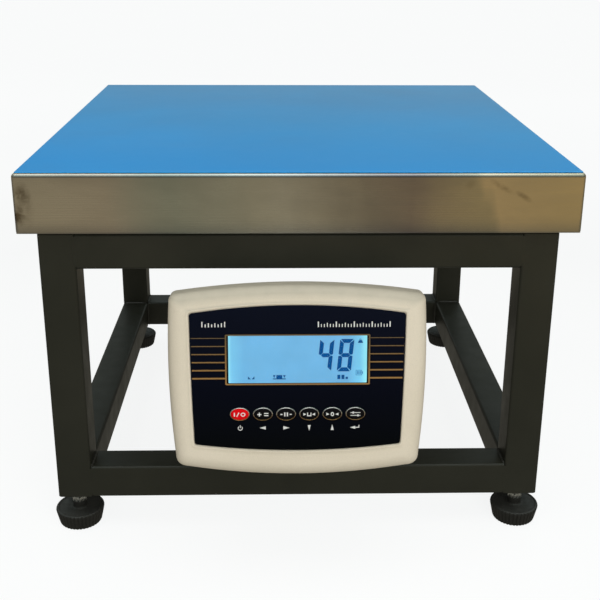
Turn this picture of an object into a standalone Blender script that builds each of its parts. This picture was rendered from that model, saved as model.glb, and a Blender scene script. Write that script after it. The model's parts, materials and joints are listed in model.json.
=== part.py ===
"""Veterinary platform scale: steel stand, stainless platter and a tilting weight indicator.

The floor is z = 0, +Z is up and the indicator faces -Y. The origin is the centre of the
object's footprint box. All sizes are in metres, written as millimetres times MM.
"""
import math

import bmesh
import bpy
from mathutils import Vector

MM = 0.001
GAP = 0.3 * MM                      # clearance between pieces that touch

# Stand
FRAME_SIDE = 565 * MM               # outside width and depth of the welded stand
FRAME_Y = 48.1 * MM                 # the stand's centre lies behind the origin
TUBE = 40 * MM
TUBE_WALL = 2 * MM
TUBE_CORNER = 3 * MM
LEG_BOTTOM = 42 * MM                # height of the leg ends above the floor
LEG_LENGTH = 324 * MM
LEG_PLATE = 5 * MM                  # threaded plate closing each leg's lower end

# Levelling feet
FOOT_RADIUS = 28.5 * MM
FOOT_SOLE_RADIUS = 24.5 * MM
FOOT_RIM_LOW = 16.5 * MM
FOOT_RIM_HIGH = 19.5 * MM
FOOT_DISH = 18.3 * MM               # height of the pad's top where it meets the hub
FOOT_HUB_RADIUS = 8 * MM
FOOT_HUB_TOP = 27.2 * MM
STUD_RADIUS = 5.9 * MM
STUD_TOP = 74 * MM
STUD_HEX_BOTTOM = FOOT_HUB_TOP + GAP
STUD_HEX_HEIGHT = 6.5 * MM
STUD_HEX_ACROSS = 16 * MM
STUD_CHAMFER = 1 * MM
STUD_SOCKET_BOTTOM = 8 * MM
BORE_CLEARANCE = 0.35 * MM

# Platter
PLATTER_SIDE = 600 * MM
PLATTER_GAP = 6 * MM                # air between the stand's top and the skirt
PLATTER_HEIGHT = 65 * MM
PLATTER_SHEET = 1.5 * MM
PLATTER_BEND = 3 * MM
PLATTER_TIGHTEST = 0.4 * MM         # plan radius where the bend meets the flat top
FILM_MARGIN = 3 * MM
FILM_THICKNESS = 0.8 * MM

# Load cell and the carrier above it
PAD_HEIGHT = 12 * MM
PAD_RADIUS = 18 * MM
PAD_REACH = 210 * MM                # pads stand this far from the centre, both ways
CARRIER_TUBE = (40 * MM, 25 * MM)   # width and height of the carrier's tubes
CELL_SIZE = (150 * MM, 40 * MM, 38 * MM)
CELL_BORE_RADIUS = 12 * MM
CELL_BORE_SPACING = 30 * MM
SPACER = (44 * MM, 40 * MM, 4 * MM)
BEAM_WIDTH = 60 * MM

# Indicator
TILT = math.radians(9.7)            # the face leans back at rest
INDICATOR_X = -3.8 * MM
PIVOT_HEIGHT = 229 * MM
PIVOT_TO_FACE = 88 * MM
PIVOT_TO_POST = 13 * MM
POST_INSET = 2 * MM                 # the post's front stands this far behind the rail's front
POST_THICKNESS = 4 * MM
POST_WIDTH = 44 * MM
POST_FOOT_DEPTH = 36 * MM
POST_TOP = 248 * MM
POST_BOLT_REACH = 13 * MM
HOUSING_SPLIT = 32 * MM             # depth of the joint between front housing and rear cover
COVER_DEPTH = 68 * MM
WALL = 2.5 * MM
PANEL_RECESS = 0.6 * MM
PANEL_THICKNESS = 1.1 * MM
WINDOW_SIZE = (148 * MM, 53 * MM)
WINDOW_HEIGHT = 17.7 * MM           # centre of the window above the face's centre
WINDOW_DEPTH = 0.4 * MM
KEY_NAMES = ("on_off", "total", "hold", "tare", "zero", "set")
KEY_PITCH = 23.8 * MM
KEY_HEIGHT = -39.6 * MM
KEY_HALF = (10.1 * MM, 6.9 * MM)
KEY_CLEARANCE = 0.4 * MM
COVER_SCREWS = ((-96 * MM, 62 * MM), (96 * MM, 62 * MM), (-94 * MM, -66 * MM), (94 * MM, -66 * MM))

CIRCLE_STEPS = 20
CORNER_STEPS = 3
KEY_STEPS = 18

# Outlines of the face: half width at the top and bottom, top and bottom corners' heights,
# how far the top edge rises and the bottom edge drops, the two corner radii and how far the
# sides bulge.
HOUSING_OUTLINE = (132.2 * MM, 126.6 * MM, 84.5 * MM, -99.3 * MM,
                   8.7 * MM, 9 * MM, 9 * MM, 13 * MM, 3.4 * MM)
PANEL_OUTLINE = (110.3 * MM, 106.2 * MM, 66.4 * MM, -72.2 * MM,
                 7.9 * MM, 6.4 * MM, 3.5 * MM, 3.5 * MM, 0.6 * MM)
CORNER_SHRINK = 0.35                # share of an inset that comes off a corner radius
SMALLEST_CORNER = 1.5 * MM

FRAME_TOP = LEG_BOTTOM + LEG_LENGTH
PLATTER_BOTTOM = FRAME_TOP + PLATTER_GAP
PLATTER_TOP = PLATTER_BOTTOM + PLATTER_HEIGHT
PAD_TOP = PLATTER_TOP - PLATTER_SHEET - GAP
CARRIER_TOP = PAD_TOP - PAD_HEIGHT - GAP
CARRIER_BOTTOM = CARRIER_TOP - CARRIER_TUBE[1]
CELL_TOP = CARRIER_BOTTOM - SPACER[2] - 2 * GAP
CELL_BOTTOM = CELL_TOP - CELL_SIZE[2]
BEAM_TOP = CELL_BOTTOM - SPACER[2] - 2 * GAP
FRAME_FRONT = FRAME_Y - FRAME_SIDE / 2
POST_FRONT = FRAME_FRONT + POST_INSET
PIVOT_Y = POST_FRONT - PIVOT_TO_POST
LEG_REACH = FRAME_SIDE / 2 - TUBE / 2
CORNERS = (("front_left", -1, -1), ("front_right", 1, -1), ("back_left", -1, 1), ("back_right", 1, 1))


# ---------------------------------------------------------------- materials and objects

def material(name, colour, roughness, metallic=0.0):
    made = bpy.data.materials.new(name)
    made.use_nodes = True
    shader = made.node_tree.nodes["Principled BSDF"]
    shader.inputs["Base Color"].default_value = (*colour, 1)
    shader.inputs["Roughness"].default_value = roughness
    shader.inputs["Metallic"].default_value = metallic
    return made


def make_materials():
    return {
        "frame_paint": material("frame_paint", (0.022, 0.022, 0.017), 0.3),
        "stainless": material("stainless", (0.42, 0.38, 0.3), 0.32, 1),
        "blue_film": material("blue_film", (0.05, 0.28, 0.6), 0.3),
        "zinc": material("zinc", (0.6, 0.61, 0.6), 0.35, 1),
        "steel": material("steel", (0.45, 0.45, 0.44), 0.35, 1),
        "aluminium": material("aluminium", (0.65, 0.66, 0.67), 0.4, 1),
        "rubber": material("rubber", (0.02, 0.02, 0.02), 0.75),
        "housing": material("housing", (0.62, 0.57, 0.45), 0.55),
        "panel": material("panel", (0.008, 0.01, 0.018), 0.2),
        "window": material("window", (0.2, 0.5, 0.85), 0.08),
        "display": material("display", (0.1, 0.4, 0.8), 0.4),
        "board": material("board", (0.02, 0.16, 0.06), 0.5),
        "battery": material("battery", (0.03, 0.03, 0.035), 0.5),
        "key_red": material("key_red", (0.75, 0.01, 0.02), 0.35),
        "key_black": material("key_black", (0.015, 0.015, 0.016), 0.35),
        "black_plastic": material("black_plastic", (0.018, 0.018, 0.02), 0.45),
    }


def place(name, builder, slot, location=(0, 0, 0), rotation=(0, 0, 0), parent=None):
    """Turn a bmesh into a named object with its material, shaded smooth between soft edges."""
    mesh = bpy.data.meshes.new(name)
    bmesh.ops.recalc_face_normals(builder, faces=builder.faces)
    builder.to_mesh(mesh)
    builder.free()
    mesh.materials.append(MATERIALS[slot])
    mesh.shade_smooth()
    mesh.set_sharp_from_angle(angle=math.radians(35))
    made = bpy.data.objects.new(name, mesh)
    bpy.context.collection.objects.link(made)
    made.location = location
    made.rotation_euler = rotation
    made.parent = parent
    return made


def empty(name, location, rotation=(0, 0, 0)):
    made = bpy.data.objects.new(name, None)
    bpy.context.collection.objects.link(made)
    made.location = location
    made.rotation_euler = rotation
    return made


def combine(target, tool, operation):
    """Cut a tool out of a target, or join it on; the tool stays as a wire guide."""
    tool.hide_render = True
    tool.display_type = 'WIRE'
    modifier = target.modifiers.new(operation.lower(), 'BOOLEAN')
    modifier.operation = operation
    modifier.object = tool
    modifier.solver = 'EXACT'


# ---------------------------------------------------------------- shape helpers

def arc(centre, radius, start, sweep, steps):
    return [(centre[0] + radius * math.cos(start + sweep * i / steps),
             centre[1] + radius * math.sin(start + sweep * i / steps)) for i in range(steps + 1)]


def circle(radius, steps=CIRCLE_STEPS):
    return [(radius * math.cos(2 * math.pi * i / steps), radius * math.sin(2 * math.pi * i / steps))
            for i in range(steps)]


def ellipse(half_width, half_height, steps=CIRCLE_STEPS):
    return [(x * half_width, y * half_height) for x, y in circle(1, steps)]


def hexagon(across_flats):
    return circle(across_flats / math.sqrt(3), 6)


def rounded_rectangle(width, height, radius, steps=CORNER_STEPS):
    across, up = width / 2 - radius, height / 2 - radius
    points = []
    for turn, (sx, sy) in enumerate(((1, 1), (-1, 1), (-1, -1), (1, -1))):
        points += arc((sx * across, sy * up), radius, turn * math.pi / 2, math.pi / 2, steps)
    return points


def bowed_edge(start, end, bow, steps):
    """Points from start to end on a shallow arc that bulges to the left by bow."""
    along = (Vector(end) - Vector(start))
    side = Vector((along.y, -along.x)).normalized()
    return [tuple(Vector(start) + along * t + side * bow * 4 * t * (1 - t))
            for t in (i / steps for i in range(steps + 1))]


def pillow(outline, inset=0.0):
    """The indicator's barrel outline, clockwise from its top left, drawn in by inset."""
    half_top, half_bottom, top, bottom, rise, drop, top_radius, bottom_radius, bulge = outline
    half_top, half_bottom = half_top - inset, half_bottom - inset
    top, bottom = top - inset, bottom + inset
    top_radius = max(top_radius - CORNER_SHRINK * inset, SMALLEST_CORNER)
    bottom_radius = max(bottom_radius - CORNER_SHRINK * inset, SMALLEST_CORNER)
    corners = ((-half_top, top), (half_top, top), (half_bottom, bottom), (-half_bottom, bottom))
    radii = (top_radius, top_radius, bottom_radius, bottom_radius)
    bows = (-rise, -bulge, -drop, -bulge)
    steps = (9, 4, 9, 4)
    points = []
    for i in range(4):
        here, ahead = Vector(corners[i]), Vector(corners[(i + 1) % 4])
        along = (ahead - here).normalized()
        edge = bowed_edge(here + along * radii[i], ahead - along * radii[(i + 1) % 4], bows[i], steps[i])
        points += edge[:-1]
        points += corner_curve(edge, ahead, radii[(i + 1) % 4], corners, i, bows[(i + 1) % 4])
    return points


def corner_curve(edge, corner, radius, corners, i, next_bow):
    """A smooth quarter turn from the end of one bowed edge to the start of the next."""
    beyond = Vector(corners[(i + 2) % 4])
    start = Vector(edge[-1])
    end = corner + (beyond - corner).normalized() * radius
    leaving = (start - Vector(edge[-2])).normalized()
    slope = math.atan2(-4 * next_bow, (beyond - corner).length)
    forward = (beyond - corner).normalized()
    arriving = Vector((forward.x * math.cos(slope) - forward.y * math.sin(slope),
                       forward.x * math.sin(slope) + forward.y * math.cos(slope)))
    meet = leaving.dot(end - start) / max(leaving.dot(leaving), 1e-9)
    middle = (start + leaving * meet + end - arriving * arriving.dot(end - start)) / 2
    steps = CORNER_STEPS + 1
    curve = [start * (1 - t) ** 2 + middle * 2 * t * (1 - t) + end * t ** 2
             for t in (k / steps for k in range(steps))]
    return [tuple(point) for point in curve]


def loft(rings, closed=False):
    """Bridge rings of equal point counts; open ends get flat caps, closed joins last to first."""
    builder = bmesh.new()
    loops = [[builder.verts.new(point) for point in ring] for ring in rings]
    count = len(loops[0])
    pairs = list(zip(loops, loops[1:]))
    if closed:
        pairs.append((loops[-1], loops[0]))
    for low, high in pairs:
        for i in range(count):
            builder.faces.new((low[i], low[(i + 1) % count], high[(i + 1) % count], high[i]))
    if not closed:
        builder.faces.new(loops[0])
        builder.faces.new(loops[-1])
    return builder


def flat_ring(points, height):
    return [(x, y, height) for x, y in points]


def upright_ring(points, depth):
    """A ring in the indicator's face plane, depth behind the face."""
    return [(x, depth, z) for x, z in points]


def block(size, bevel=0.0, centre=(0, 0, 0)):
    builder = bmesh.new()
    bmesh.ops.create_cube(builder, size=1)
    bmesh.ops.scale(builder, vec=size, verts=builder.verts)
    bmesh.ops.translate(builder, vec=centre, verts=builder.verts)
    if bevel:
        bmesh.ops.bevel(builder, geom=builder.edges, offset=bevel, segments=2, affect='EDGES')
    return builder


def rod(radius, length, steps=CIRCLE_STEPS):
    return loft([flat_ring(circle(radius, steps), z) for z in (-length / 2, length / 2)])


def turned(profile, steps=CIRCLE_STEPS, closed=False):
    """A body turned about Z from (radius, height) pairs."""
    return loft([flat_ring(circle(radius, steps), height) for radius, height in profile], closed)


# ---------------------------------------------------------------- stand

def square_tube(length):
    """An open-ended square tube along Z, centred on its middle."""
    outer = rounded_rectangle(TUBE, TUBE, TUBE_CORNER)
    bore = TUBE - 2 * TUBE_WALL
    inner = rounded_rectangle(bore, bore, TUBE_CORNER - TUBE_WALL)
    half = length / 2
    rings = [flat_ring(outer, -half), flat_ring(outer, half), flat_ring(inner, half), flat_ring(inner, -half)]
    return loft(rings, closed=True)


def leg_tube():
    """A leg: square tube with a closed top and a drilled plate at its foot, from z = 0 up."""
    outer = rounded_rectangle(TUBE, TUBE, TUBE_CORNER)
    bore = TUBE - 2 * TUBE_WALL
    inner = rounded_rectangle(bore, bore, TUBE_CORNER - TUBE_WALL)
    hole = circle(STUD_RADIUS + BORE_CLEARANCE, len(outer))
    turn = math.pi / 4 - math.pi / len(outer)
    hole = [(x * math.cos(turn) - y * math.sin(turn), x * math.sin(turn) + y * math.cos(turn))
            for x, y in hole]
    top = LEG_LENGTH - TUBE_WALL
    rings = [flat_ring(outer, LEG_LENGTH), flat_ring(outer, 0), flat_ring(hole, 0),
             flat_ring(hole, LEG_PLATE), flat_ring(inner, LEG_PLATE), flat_ring(inner, top)]
    return loft(rings)


def make_legs():
    for name, sx, sy in CORNERS:
        place(f"leg_{name}", leg_tube(), "frame_paint",
              (sx * LEG_REACH, FRAME_Y + sy * LEG_REACH, LEG_BOTTOM))


def make_rails():
    length = FRAME_SIDE - 2 * TUBE - 2 * GAP
    rails = {}
    for level, height in (("lower", LEG_BOTTOM + TUBE / 2), ("top", FRAME_TOP - TUBE / 2)):
        for side, sign in (("front", -1), ("back", 1)):
            rails[level, side] = place(f"{level}_rail_{side}", square_tube(length), "frame_paint",
                                       (0, FRAME_Y + sign * LEG_REACH, height), (0, math.pi / 2, 0))
        for side, sign in (("left", -1), ("right", 1)):
            place(f"{level}_rail_{side}", square_tube(length), "frame_paint",
                  (sign * LEG_REACH, FRAME_Y, height), (math.pi / 2, 0, 0))
    return rails


def make_foot(name, sx, sy):
    """A fluted levelling foot: rubber pad on the floor, and a zinc stud turned by its hexagon."""
    axis = empty(f"foot_axis_{name}", (sx * LEG_REACH, FRAME_Y + sy * LEG_REACH, 0))
    socket = STUD_RADIUS + BORE_CLEARANCE
    shoulder = 1.5 * MM
    pad = [(FOOT_SOLE_RADIUS, 0), (FOOT_RADIUS, FOOT_RIM_LOW), (FOOT_RADIUS, FOOT_RIM_HIGH - shoulder),
           (FOOT_RADIUS - shoulder, FOOT_RIM_HIGH), (FOOT_HUB_RADIUS + shoulder, FOOT_DISH),
           (FOOT_HUB_RADIUS, FOOT_DISH + shoulder), (FOOT_HUB_RADIUS, FOOT_HUB_TOP),
           (socket, FOOT_HUB_TOP), (socket, STUD_SOCKET_BOTTOM)]
    place(f"foot_pad_{name}", turned(pad), "rubber", parent=axis)
    foot_end = STUD_SOCKET_BOTTOM + GAP
    shank = [(STUD_RADIUS - STUD_CHAMFER, foot_end), (STUD_RADIUS, foot_end + STUD_CHAMFER),
             (STUD_RADIUS, STUD_TOP - STUD_CHAMFER), (STUD_RADIUS - STUD_CHAMFER, STUD_TOP)]
    stud = place(f"foot_stud_{name}", turned(shank), "zinc", parent=axis)
    heights = (STUD_HEX_BOTTOM, STUD_HEX_BOTTOM + STUD_HEX_HEIGHT)
    hexagon_nut = loft([flat_ring(hexagon(STUD_HEX_ACROSS), height) for height in heights])
    combine(stud, place(f"hexagon_guide_{name}", hexagon_nut, "zinc", parent=axis), 'UNION')


def make_cross_beam():
    length = FRAME_SIDE - 2 * TUBE - 2 * GAP
    height = BEAM_TOP - (FRAME_TOP - TUBE) - 2 * MM
    outer = rounded_rectangle(height, BEAM_WIDTH, TUBE_CORNER)
    inner = rounded_rectangle(height - 2 * TUBE_WALL, BEAM_WIDTH - 2 * TUBE_WALL, TUBE_CORNER - TUBE_WALL)
    half = length / 2
    rings = [flat_ring(outer, -half), flat_ring(outer, half), flat_ring(inner, half), flat_ring(inner, -half)]
    place("cross_beam", loft(rings, closed=True), "frame_paint",
          (0, FRAME_Y, BEAM_TOP - height / 2), (0, math.pi / 2, 0))


# ---------------------------------------------------------------- load cell and carrier

def make_load_cell():
    """A single-point bending beam: an aluminium block with two bores joined by a slot."""
    centre_z = (CELL_TOP + CELL_BOTTOM) / 2
    cell = place("load_cell", block(CELL_SIZE, 1 * MM), "aluminium", (0, FRAME_Y, centre_z))
    reach = CELL_BORE_SPACING / 2
    right = arc((reach, 0), CELL_BORE_RADIUS, -2.4, 4.8, 14)
    left = arc((-reach, 0), CELL_BORE_RADIUS, math.pi - 2.4, 4.8, 14)
    depth = CELL_SIZE[1]
    window = place("load_cell_window_guide", loft([flat_ring(right + left, z) for z in (-depth, depth)]),
                   "aluminium", (0, FRAME_Y, centre_z), (math.pi / 2, 0, 0))
    combine(cell, window, 'DIFFERENCE')
    reach = (CELL_SIZE[0] - SPACER[0]) / 2
    below, above = CELL_BOTTOM - GAP - SPACER[2] / 2, CELL_TOP + GAP + SPACER[2] / 2
    place("lower_spacer", block(SPACER, 0.5 * MM), "steel", (-reach, FRAME_Y, below))
    place("upper_spacer", block(SPACER, 0.5 * MM), "steel", (reach, FRAME_Y, above))


def carrier_tube(length):
    width, height = CARRIER_TUBE
    outer = rounded_rectangle(width, height, TUBE_CORNER)
    inner = rounded_rectangle(width - 2 * TUBE_WALL, height - 2 * TUBE_WALL, TUBE_CORNER - TUBE_WALL)
    half = length / 2
    rings = [flat_ring(outer, -half), flat_ring(outer, half), flat_ring(inner, half), flat_ring(inner, -half)]
    return loft(rings, closed=True)


def make_carrier():
    """The H-shaped tube frame that stands on the load cell and carries the platter."""
    middle = (CARRIER_TOP + CARRIER_BOTTOM) / 2
    length = 2 * PAD_REACH + 2 * PAD_RADIUS + 10 * MM
    for side, sign in (("left", -1), ("right", 1)):
        place(f"carrier_beam_{side}", carrier_tube(length), "frame_paint",
              (sign * PAD_REACH, FRAME_Y, middle), (math.pi / 2, 0, 0))
    across = 2 * PAD_REACH - CARRIER_TUBE[0] - 2 * GAP
    place("carrier_crossbar", carrier_tube(across), "frame_paint",
          (0, FRAME_Y, middle), (math.pi / 2, 0, math.pi / 2))
    pad = [(PAD_RADIUS, 0), (PAD_RADIUS, 2 * MM), (PAD_RADIUS - 3 * MM, PAD_HEIGHT - 1 * MM),
           (PAD_RADIUS - 4 * MM, PAD_HEIGHT)]
    for name, sx, sy in CORNERS:
        place(f"rubber_pad_{name}", turned(pad), "rubber",
              (sx * PAD_REACH, FRAME_Y + sy * PAD_REACH, CARRIER_TOP + GAP))


def make_platter():
    """A folded stainless tray, open underneath, with a blue film over its top."""
    outer = PLATTER_SIDE
    inner = PLATTER_SIDE - 2 * PLATTER_SHEET
    bend = PLATTER_BEND
    levels = [(outer, bend, 0), (outer, bend, PLATTER_HEIGHT - bend)]
    for step in (1, 2, 3):
        angle = step * math.pi / 6
        inset = bend * (1 - math.cos(angle))
        height = PLATTER_HEIGHT - bend * (1 - math.sin(angle))
        levels.append((outer - 2 * inset, max(bend - inset, PLATTER_TIGHTEST), height))
    skin = [flat_ring(rounded_rectangle(side, side, radius), z) for side, radius, z in levels]
    hollow = [flat_ring(rounded_rectangle(inner, inner, bend - PLATTER_SHEET), z)
              for z in (0, PLATTER_HEIGHT - PLATTER_SHEET)]
    place("platter", loft(list(reversed(skin)) + hollow), "stainless", (0, FRAME_Y, PLATTER_BOTTOM))
    side = PLATTER_SIDE - 2 * FILM_MARGIN
    film = [flat_ring(rounded_rectangle(side, side, 2 * MM), z) for z in (0, FILM_THICKNESS)]
    place("platter_film", loft(film), "blue_film", (0, FRAME_Y, PLATTER_TOP + GAP))


# ---------------------------------------------------------------- indicator's support

def make_post(rail):
    """The angle post behind the indicator; its foot is bolted down on the lower front rail."""
    foot = LEG_BOTTOM + TUBE + GAP
    back = -POST_FOOT_DEPTH
    ledge = foot + POST_THICKNESS
    side = ((0, foot), (0, POST_TOP), (-POST_THICKNESS, POST_TOP), (-POST_THICKNESS, ledge),
            (back, ledge), (back, foot))
    half = POST_WIDTH / 2
    angle = loft([[(x, -y, z) for y, z in side] for x in (-half, half)])
    post = place("indicator_post", angle, "frame_paint", (INDICATOR_X, POST_FRONT, 0))
    for name, sign in (("left", -1), ("right", 1)):
        spot = (INDICATOR_X + sign * POST_BOLT_REACH, POST_FRONT + POST_FOOT_DEPTH / 2 + POST_THICKNESS / 2,
                foot + POST_THICKNESS)
        hole = place(f"bolt_hole_guide_{name}", rod(3.4 * MM, 20 * MM, 16), "steel", spot)
        combine(post, hole, 'DIFFERENCE')
        combine(rail, hole, 'DIFFERENCE')
        bolt = [(3 * MM, -14 * MM), (3 * MM, GAP), (5.8 * MM, GAP), (5.8 * MM, 4.3 * MM)]
        place(f"post_bolt_{name}", turned(bolt, steps=12), "zinc", spot)
    plan = ((-19.5, 0), (19.5, 0), (19.5, -22), (16, -22), (16, -3.5), (-16, -3.5), (-16, -22), (-19.5, -22))
    ring = [(x * MM, y * MM) for x, y in plan]
    yoke = place("tilt_yoke", loft([flat_ring(ring, z) for z in (-12 * MM, 12 * MM)]), "frame_paint",
                 (INDICATOR_X, POST_FRONT - GAP, PIVOT_HEIGHT))
    bore = place("yoke_bore_guide", rod(4.35 * MM, 60 * MM), "steel",
                 (INDICATOR_X, PIVOT_Y, PIVOT_HEIGHT), (0, math.pi / 2, 0))
    combine(yoke, bore, 'DIFFERENCE')
    bolt = [(7 * MM, -25 * MM), (7 * MM, -19.8 * MM), (4 * MM, -19.8 * MM), (4 * MM, 36 * MM),
            (3.2 * MM, 37 * MM)]
    place("tilt_bolt", turned(bolt), "zinc", (INDICATOR_X, PIVOT_Y, PIVOT_HEIGHT), (0, math.pi / 2, 0))


def make_clamp_knob():
    """A lobed clamp knob, screwed on the tilt bolt beside the yoke."""
    steps = 36
    lobes = []
    for x, y in circle(1, steps):
        reach = 15 * MM + 1.5 * MM * math.cos(6 * math.atan2(y, x))
        lobes.append((x * reach, y * reach))
    tapered = [(x * 0.88, y * 0.88) for x, y in lobes]
    hub = circle(9 * MM, steps)
    bore = circle(4.35 * MM, steps)
    levels = ((hub, 19.9), (hub, 24), (tapered, 25.5), (lobes, 28), (lobes, 36), (tapered, 39),
              (bore, 39), (bore, 19.9))
    place("clamp_knob", loft([flat_ring(ring, z * MM) for ring, z in levels], closed=True), "black_plastic",
          (INDICATOR_X, PIVOT_Y, PIVOT_HEIGHT), (0, math.pi / 2, 0))


# ---------------------------------------------------------------- indicator

def make_front_housing(face):
    outside = ((HOUSING_SPLIT, 0), (14 * MM, 0), (8 * MM, 1 * MM), (4 * MM, 3.6 * MM), (1.4 * MM, 8.5 * MM),
               (0.3 * MM, 15 * MM))
    lip = ((0, -2.4 * MM), (0, -0.4 * MM), (PANEL_RECESS + PANEL_THICKNESS + GAP, -0.4 * MM))
    flange = ((PANEL_RECESS + PANEL_THICKNESS + GAP, 4.5 * MM), (4.5 * MM, 4.5 * MM))
    inside = ((6 * MM, 11 * MM), (10 * MM, 4.5 * MM), (14 * MM, WALL), (HOUSING_SPLIT, WALL))
    rings = [upright_ring(pillow(HOUSING_OUTLINE, inset), depth) for depth, inset in outside]
    rings += [upright_ring(pillow(PANEL_OUTLINE, inset), depth) for depth, inset in lip + flange]
    rings += [upright_ring(pillow(HOUSING_OUTLINE, inset), depth) for depth, inset in inside]
    place("front_housing", loft(rings, closed=True), "housing", parent=face)


def make_rear_cover(face):
    outside = ((68, 20), (66.5, 16.5), (60, 9.5), (46, 2.6), (HOUSING_SPLIT / MM + 0.3, 0.8))
    inside = ((HOUSING_SPLIT / MM + 0.3, 3.3), (46, 5.2), (59, 12), (65.5, 20))
    rings = [upright_ring(pillow(HOUSING_OUTLINE, inset * MM), depth * MM)
             for depth, inset in outside + inside]
    cover = place("rear_cover", loft(rings), "housing", parent=face)
    holes = [(-60 * MM, -40 * MM, 9.6 * MM), (60 * MM, -40 * MM, 7.5 * MM)]
    holes += [(x, z, 1.9 * MM) for x, z in COVER_SCREWS]
    for number, (x, z, radius) in enumerate(holes):
        guide = place(f"cover_hole_guide_{number}", rod(radius, 12 * MM, 16), "housing",
                      (x, COVER_DEPTH, z), (math.pi / 2, 0, 0), face)
        combine(cover, guide, 'DIFFERENCE')


def make_back_fittings(face):
    """Load-cell socket, power jack and cover screws; Z of each turned shape points backwards."""
    backwards = (-math.pi / 2, 0, 0)
    socket = ((8 * MM, -9 * MM), (8 * MM, GAP), (11 * MM, GAP), (11 * MM, 2 * MM), (9 * MM, 5 * MM),
              (7 * MM, 5 * MM), (7 * MM, -5 * MM))
    place("load_cell_socket", turned(socket), "steel", (-60 * MM, COVER_DEPTH, -40 * MM), backwards, face)
    jack = ((6 * MM, -9 * MM), (6 * MM, GAP), (8 * MM, GAP), (8 * MM, 2.4 * MM), (4.2 * MM, 2.4 * MM),
            (4.2 * MM, -5 * MM))
    place("power_jack", turned(jack), "black_plastic", (60 * MM, COVER_DEPTH, -40 * MM), backwards, face)
    screw = ((1.5 * MM, -12 * MM), (1.5 * MM, GAP), (3.6 * MM, GAP), (3.4 * MM, 1.4 * MM),
             (1.6 * MM, 2.2 * MM))
    for number, (x, z) in enumerate(COVER_SCREWS, 1):
        place(f"cover_screw_{number}", turned(screw, 16), "zinc", (x, COVER_DEPTH, z), backwards, face)


def make_tilt_lug(face):
    """The lug on the back that swings in the yoke; its end is rounded about the tilt bolt."""
    depth = PIVOT_TO_FACE
    back = COVER_DEPTH + GAP
    tongue = [(back - depth, 9 * MM), (back - depth, -9 * MM)]
    tongue += arc((0, 0), 9 * MM, -math.pi / 2, math.pi, 12)
    solid = loft([[(x, y, z) for y, z in tongue] for x in (-15.5 * MM, 15.5 * MM)])
    lug = place("tilt_lug", solid, "frame_paint", (0, depth, 0), parent=face)
    base = block((36 * MM, 3 * MM, 50 * MM), 0.6 * MM, (0, back - depth + 1.5 * MM, 0))
    combine(lug, place("lug_base_guide", base, "frame_paint", (0, depth, 0), parent=face), 'UNION')
    bore = place("lug_bore_guide", rod(4.35 * MM, 60 * MM), "steel", (0, depth, 0), (0, math.pi / 2, 0), face)
    combine(lug, bore, 'DIFFERENCE')


def make_face_panel(face):
    front = PANEL_RECESS
    rings = [upright_ring(pillow(PANEL_OUTLINE), depth) for depth in (front, front + PANEL_THICKNESS)]
    panel = place("face_panel", loft(rings), "panel", parent=face)
    opening = rounded_rectangle(WINDOW_SIZE[0] + 2 * GAP, WINDOW_SIZE[1] + 2 * GAP, 1.5 * MM)
    through = loft([upright_ring(opening, depth) for depth in (-5 * MM, 5 * MM)])
    guide = place("window_opening_guide", through, "panel", (0, 0, WINDOW_HEIGHT), parent=face)
    combine(panel, guide, 'DIFFERENCE')
    for number in range(len(KEY_NAMES)):
        hole = ellipse(KEY_HALF[0] + KEY_CLEARANCE, KEY_HALF[1] + KEY_CLEARANCE, KEY_STEPS)
        through = loft([upright_ring(hole, depth) for depth in (-5 * MM, 5 * MM)])
        spot = (key_x(number), 0, KEY_HEIGHT)
        guide = place(f"key_hole_guide_{number}", through, "panel", spot, parent=face)
        combine(panel, guide, 'DIFFERENCE')


def key_x(number):
    return (number - (len(KEY_NAMES) - 1) / 2) * KEY_PITCH


def make_keys(face):
    """Oval keys: a domed cap through the panel, a flange behind it and a stem to the board."""
    wide, high = KEY_HALF
    levels = ((-1.5, -2.4), (-0.6, -0.3), (2.1, 0), (2.1, 1.3), (3.0, 1.3), (3.0, -3.2), (7.5, -3.2))
    for number, name in enumerate(KEY_NAMES):
        rings = [upright_ring(ellipse(wide + grow * MM, high + grow * MM, KEY_STEPS), depth * MM)
                 for depth, grow in levels]
        slot = "key_red" if number == 0 else "key_black"
        place(f"key_{name}", loft(rings), slot, (key_x(number), 0, KEY_HEIGHT), parent=face)


def make_electronics(face):
    window = rounded_rectangle(*WINDOW_SIZE, 1.2 * MM)
    rings = [upright_ring(window, depth) for depth in (WINDOW_DEPTH, WINDOW_DEPTH + 1.4 * MM)]
    place("lcd_window", loft(rings), "window", (0, 0, WINDOW_HEIGHT), parent=face)
    module = (WINDOW_SIZE[0] + 8 * MM, 6.5 * MM, WINDOW_SIZE[1] + 8 * MM)
    place("lcd_module", block(module, 0.5 * MM), "display", (0, 5.4 * MM, WINDOW_HEIGHT), parent=face)
    place("main_board", block((190 * MM, 1.6 * MM, 118 * MM)), "board", (0, 10.2 * MM, -4 * MM), parent=face)
    cell = block((98 * MM, 24 * MM, 50 * MM), 1.5 * MM)
    place("battery", cell, "battery", (0, 30 * MM, -48 * MM), parent=face)


def make_indicator():
    pivot = empty("tilt_axis", (INDICATOR_X, PIVOT_Y, PIVOT_HEIGHT), (-TILT, 0, 0))
    face = empty("face_centre", (0, -PIVOT_TO_FACE, 0))
    face.parent = pivot
    make_front_housing(face)
    make_rear_cover(face)
    make_back_fittings(face)
    make_tilt_lug(face)
    make_face_panel(face)
    make_keys(face)
    make_electronics(face)


for old in list(bpy.data.objects):
    bpy.data.objects.remove(old, do_unlink=True)

MATERIALS = make_materials()
make_legs()
rails = make_rails()
for corner in CORNERS:
    make_foot(*corner)
make_cross_beam()
make_load_cell()
make_carrier()
make_platter()
make_post(rails["lower", "front"])
make_clamp_knob()
make_indicator()
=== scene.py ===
import json
import math

import bmesh
import bpy
from mathutils import Matrix, Vector, noise


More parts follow.
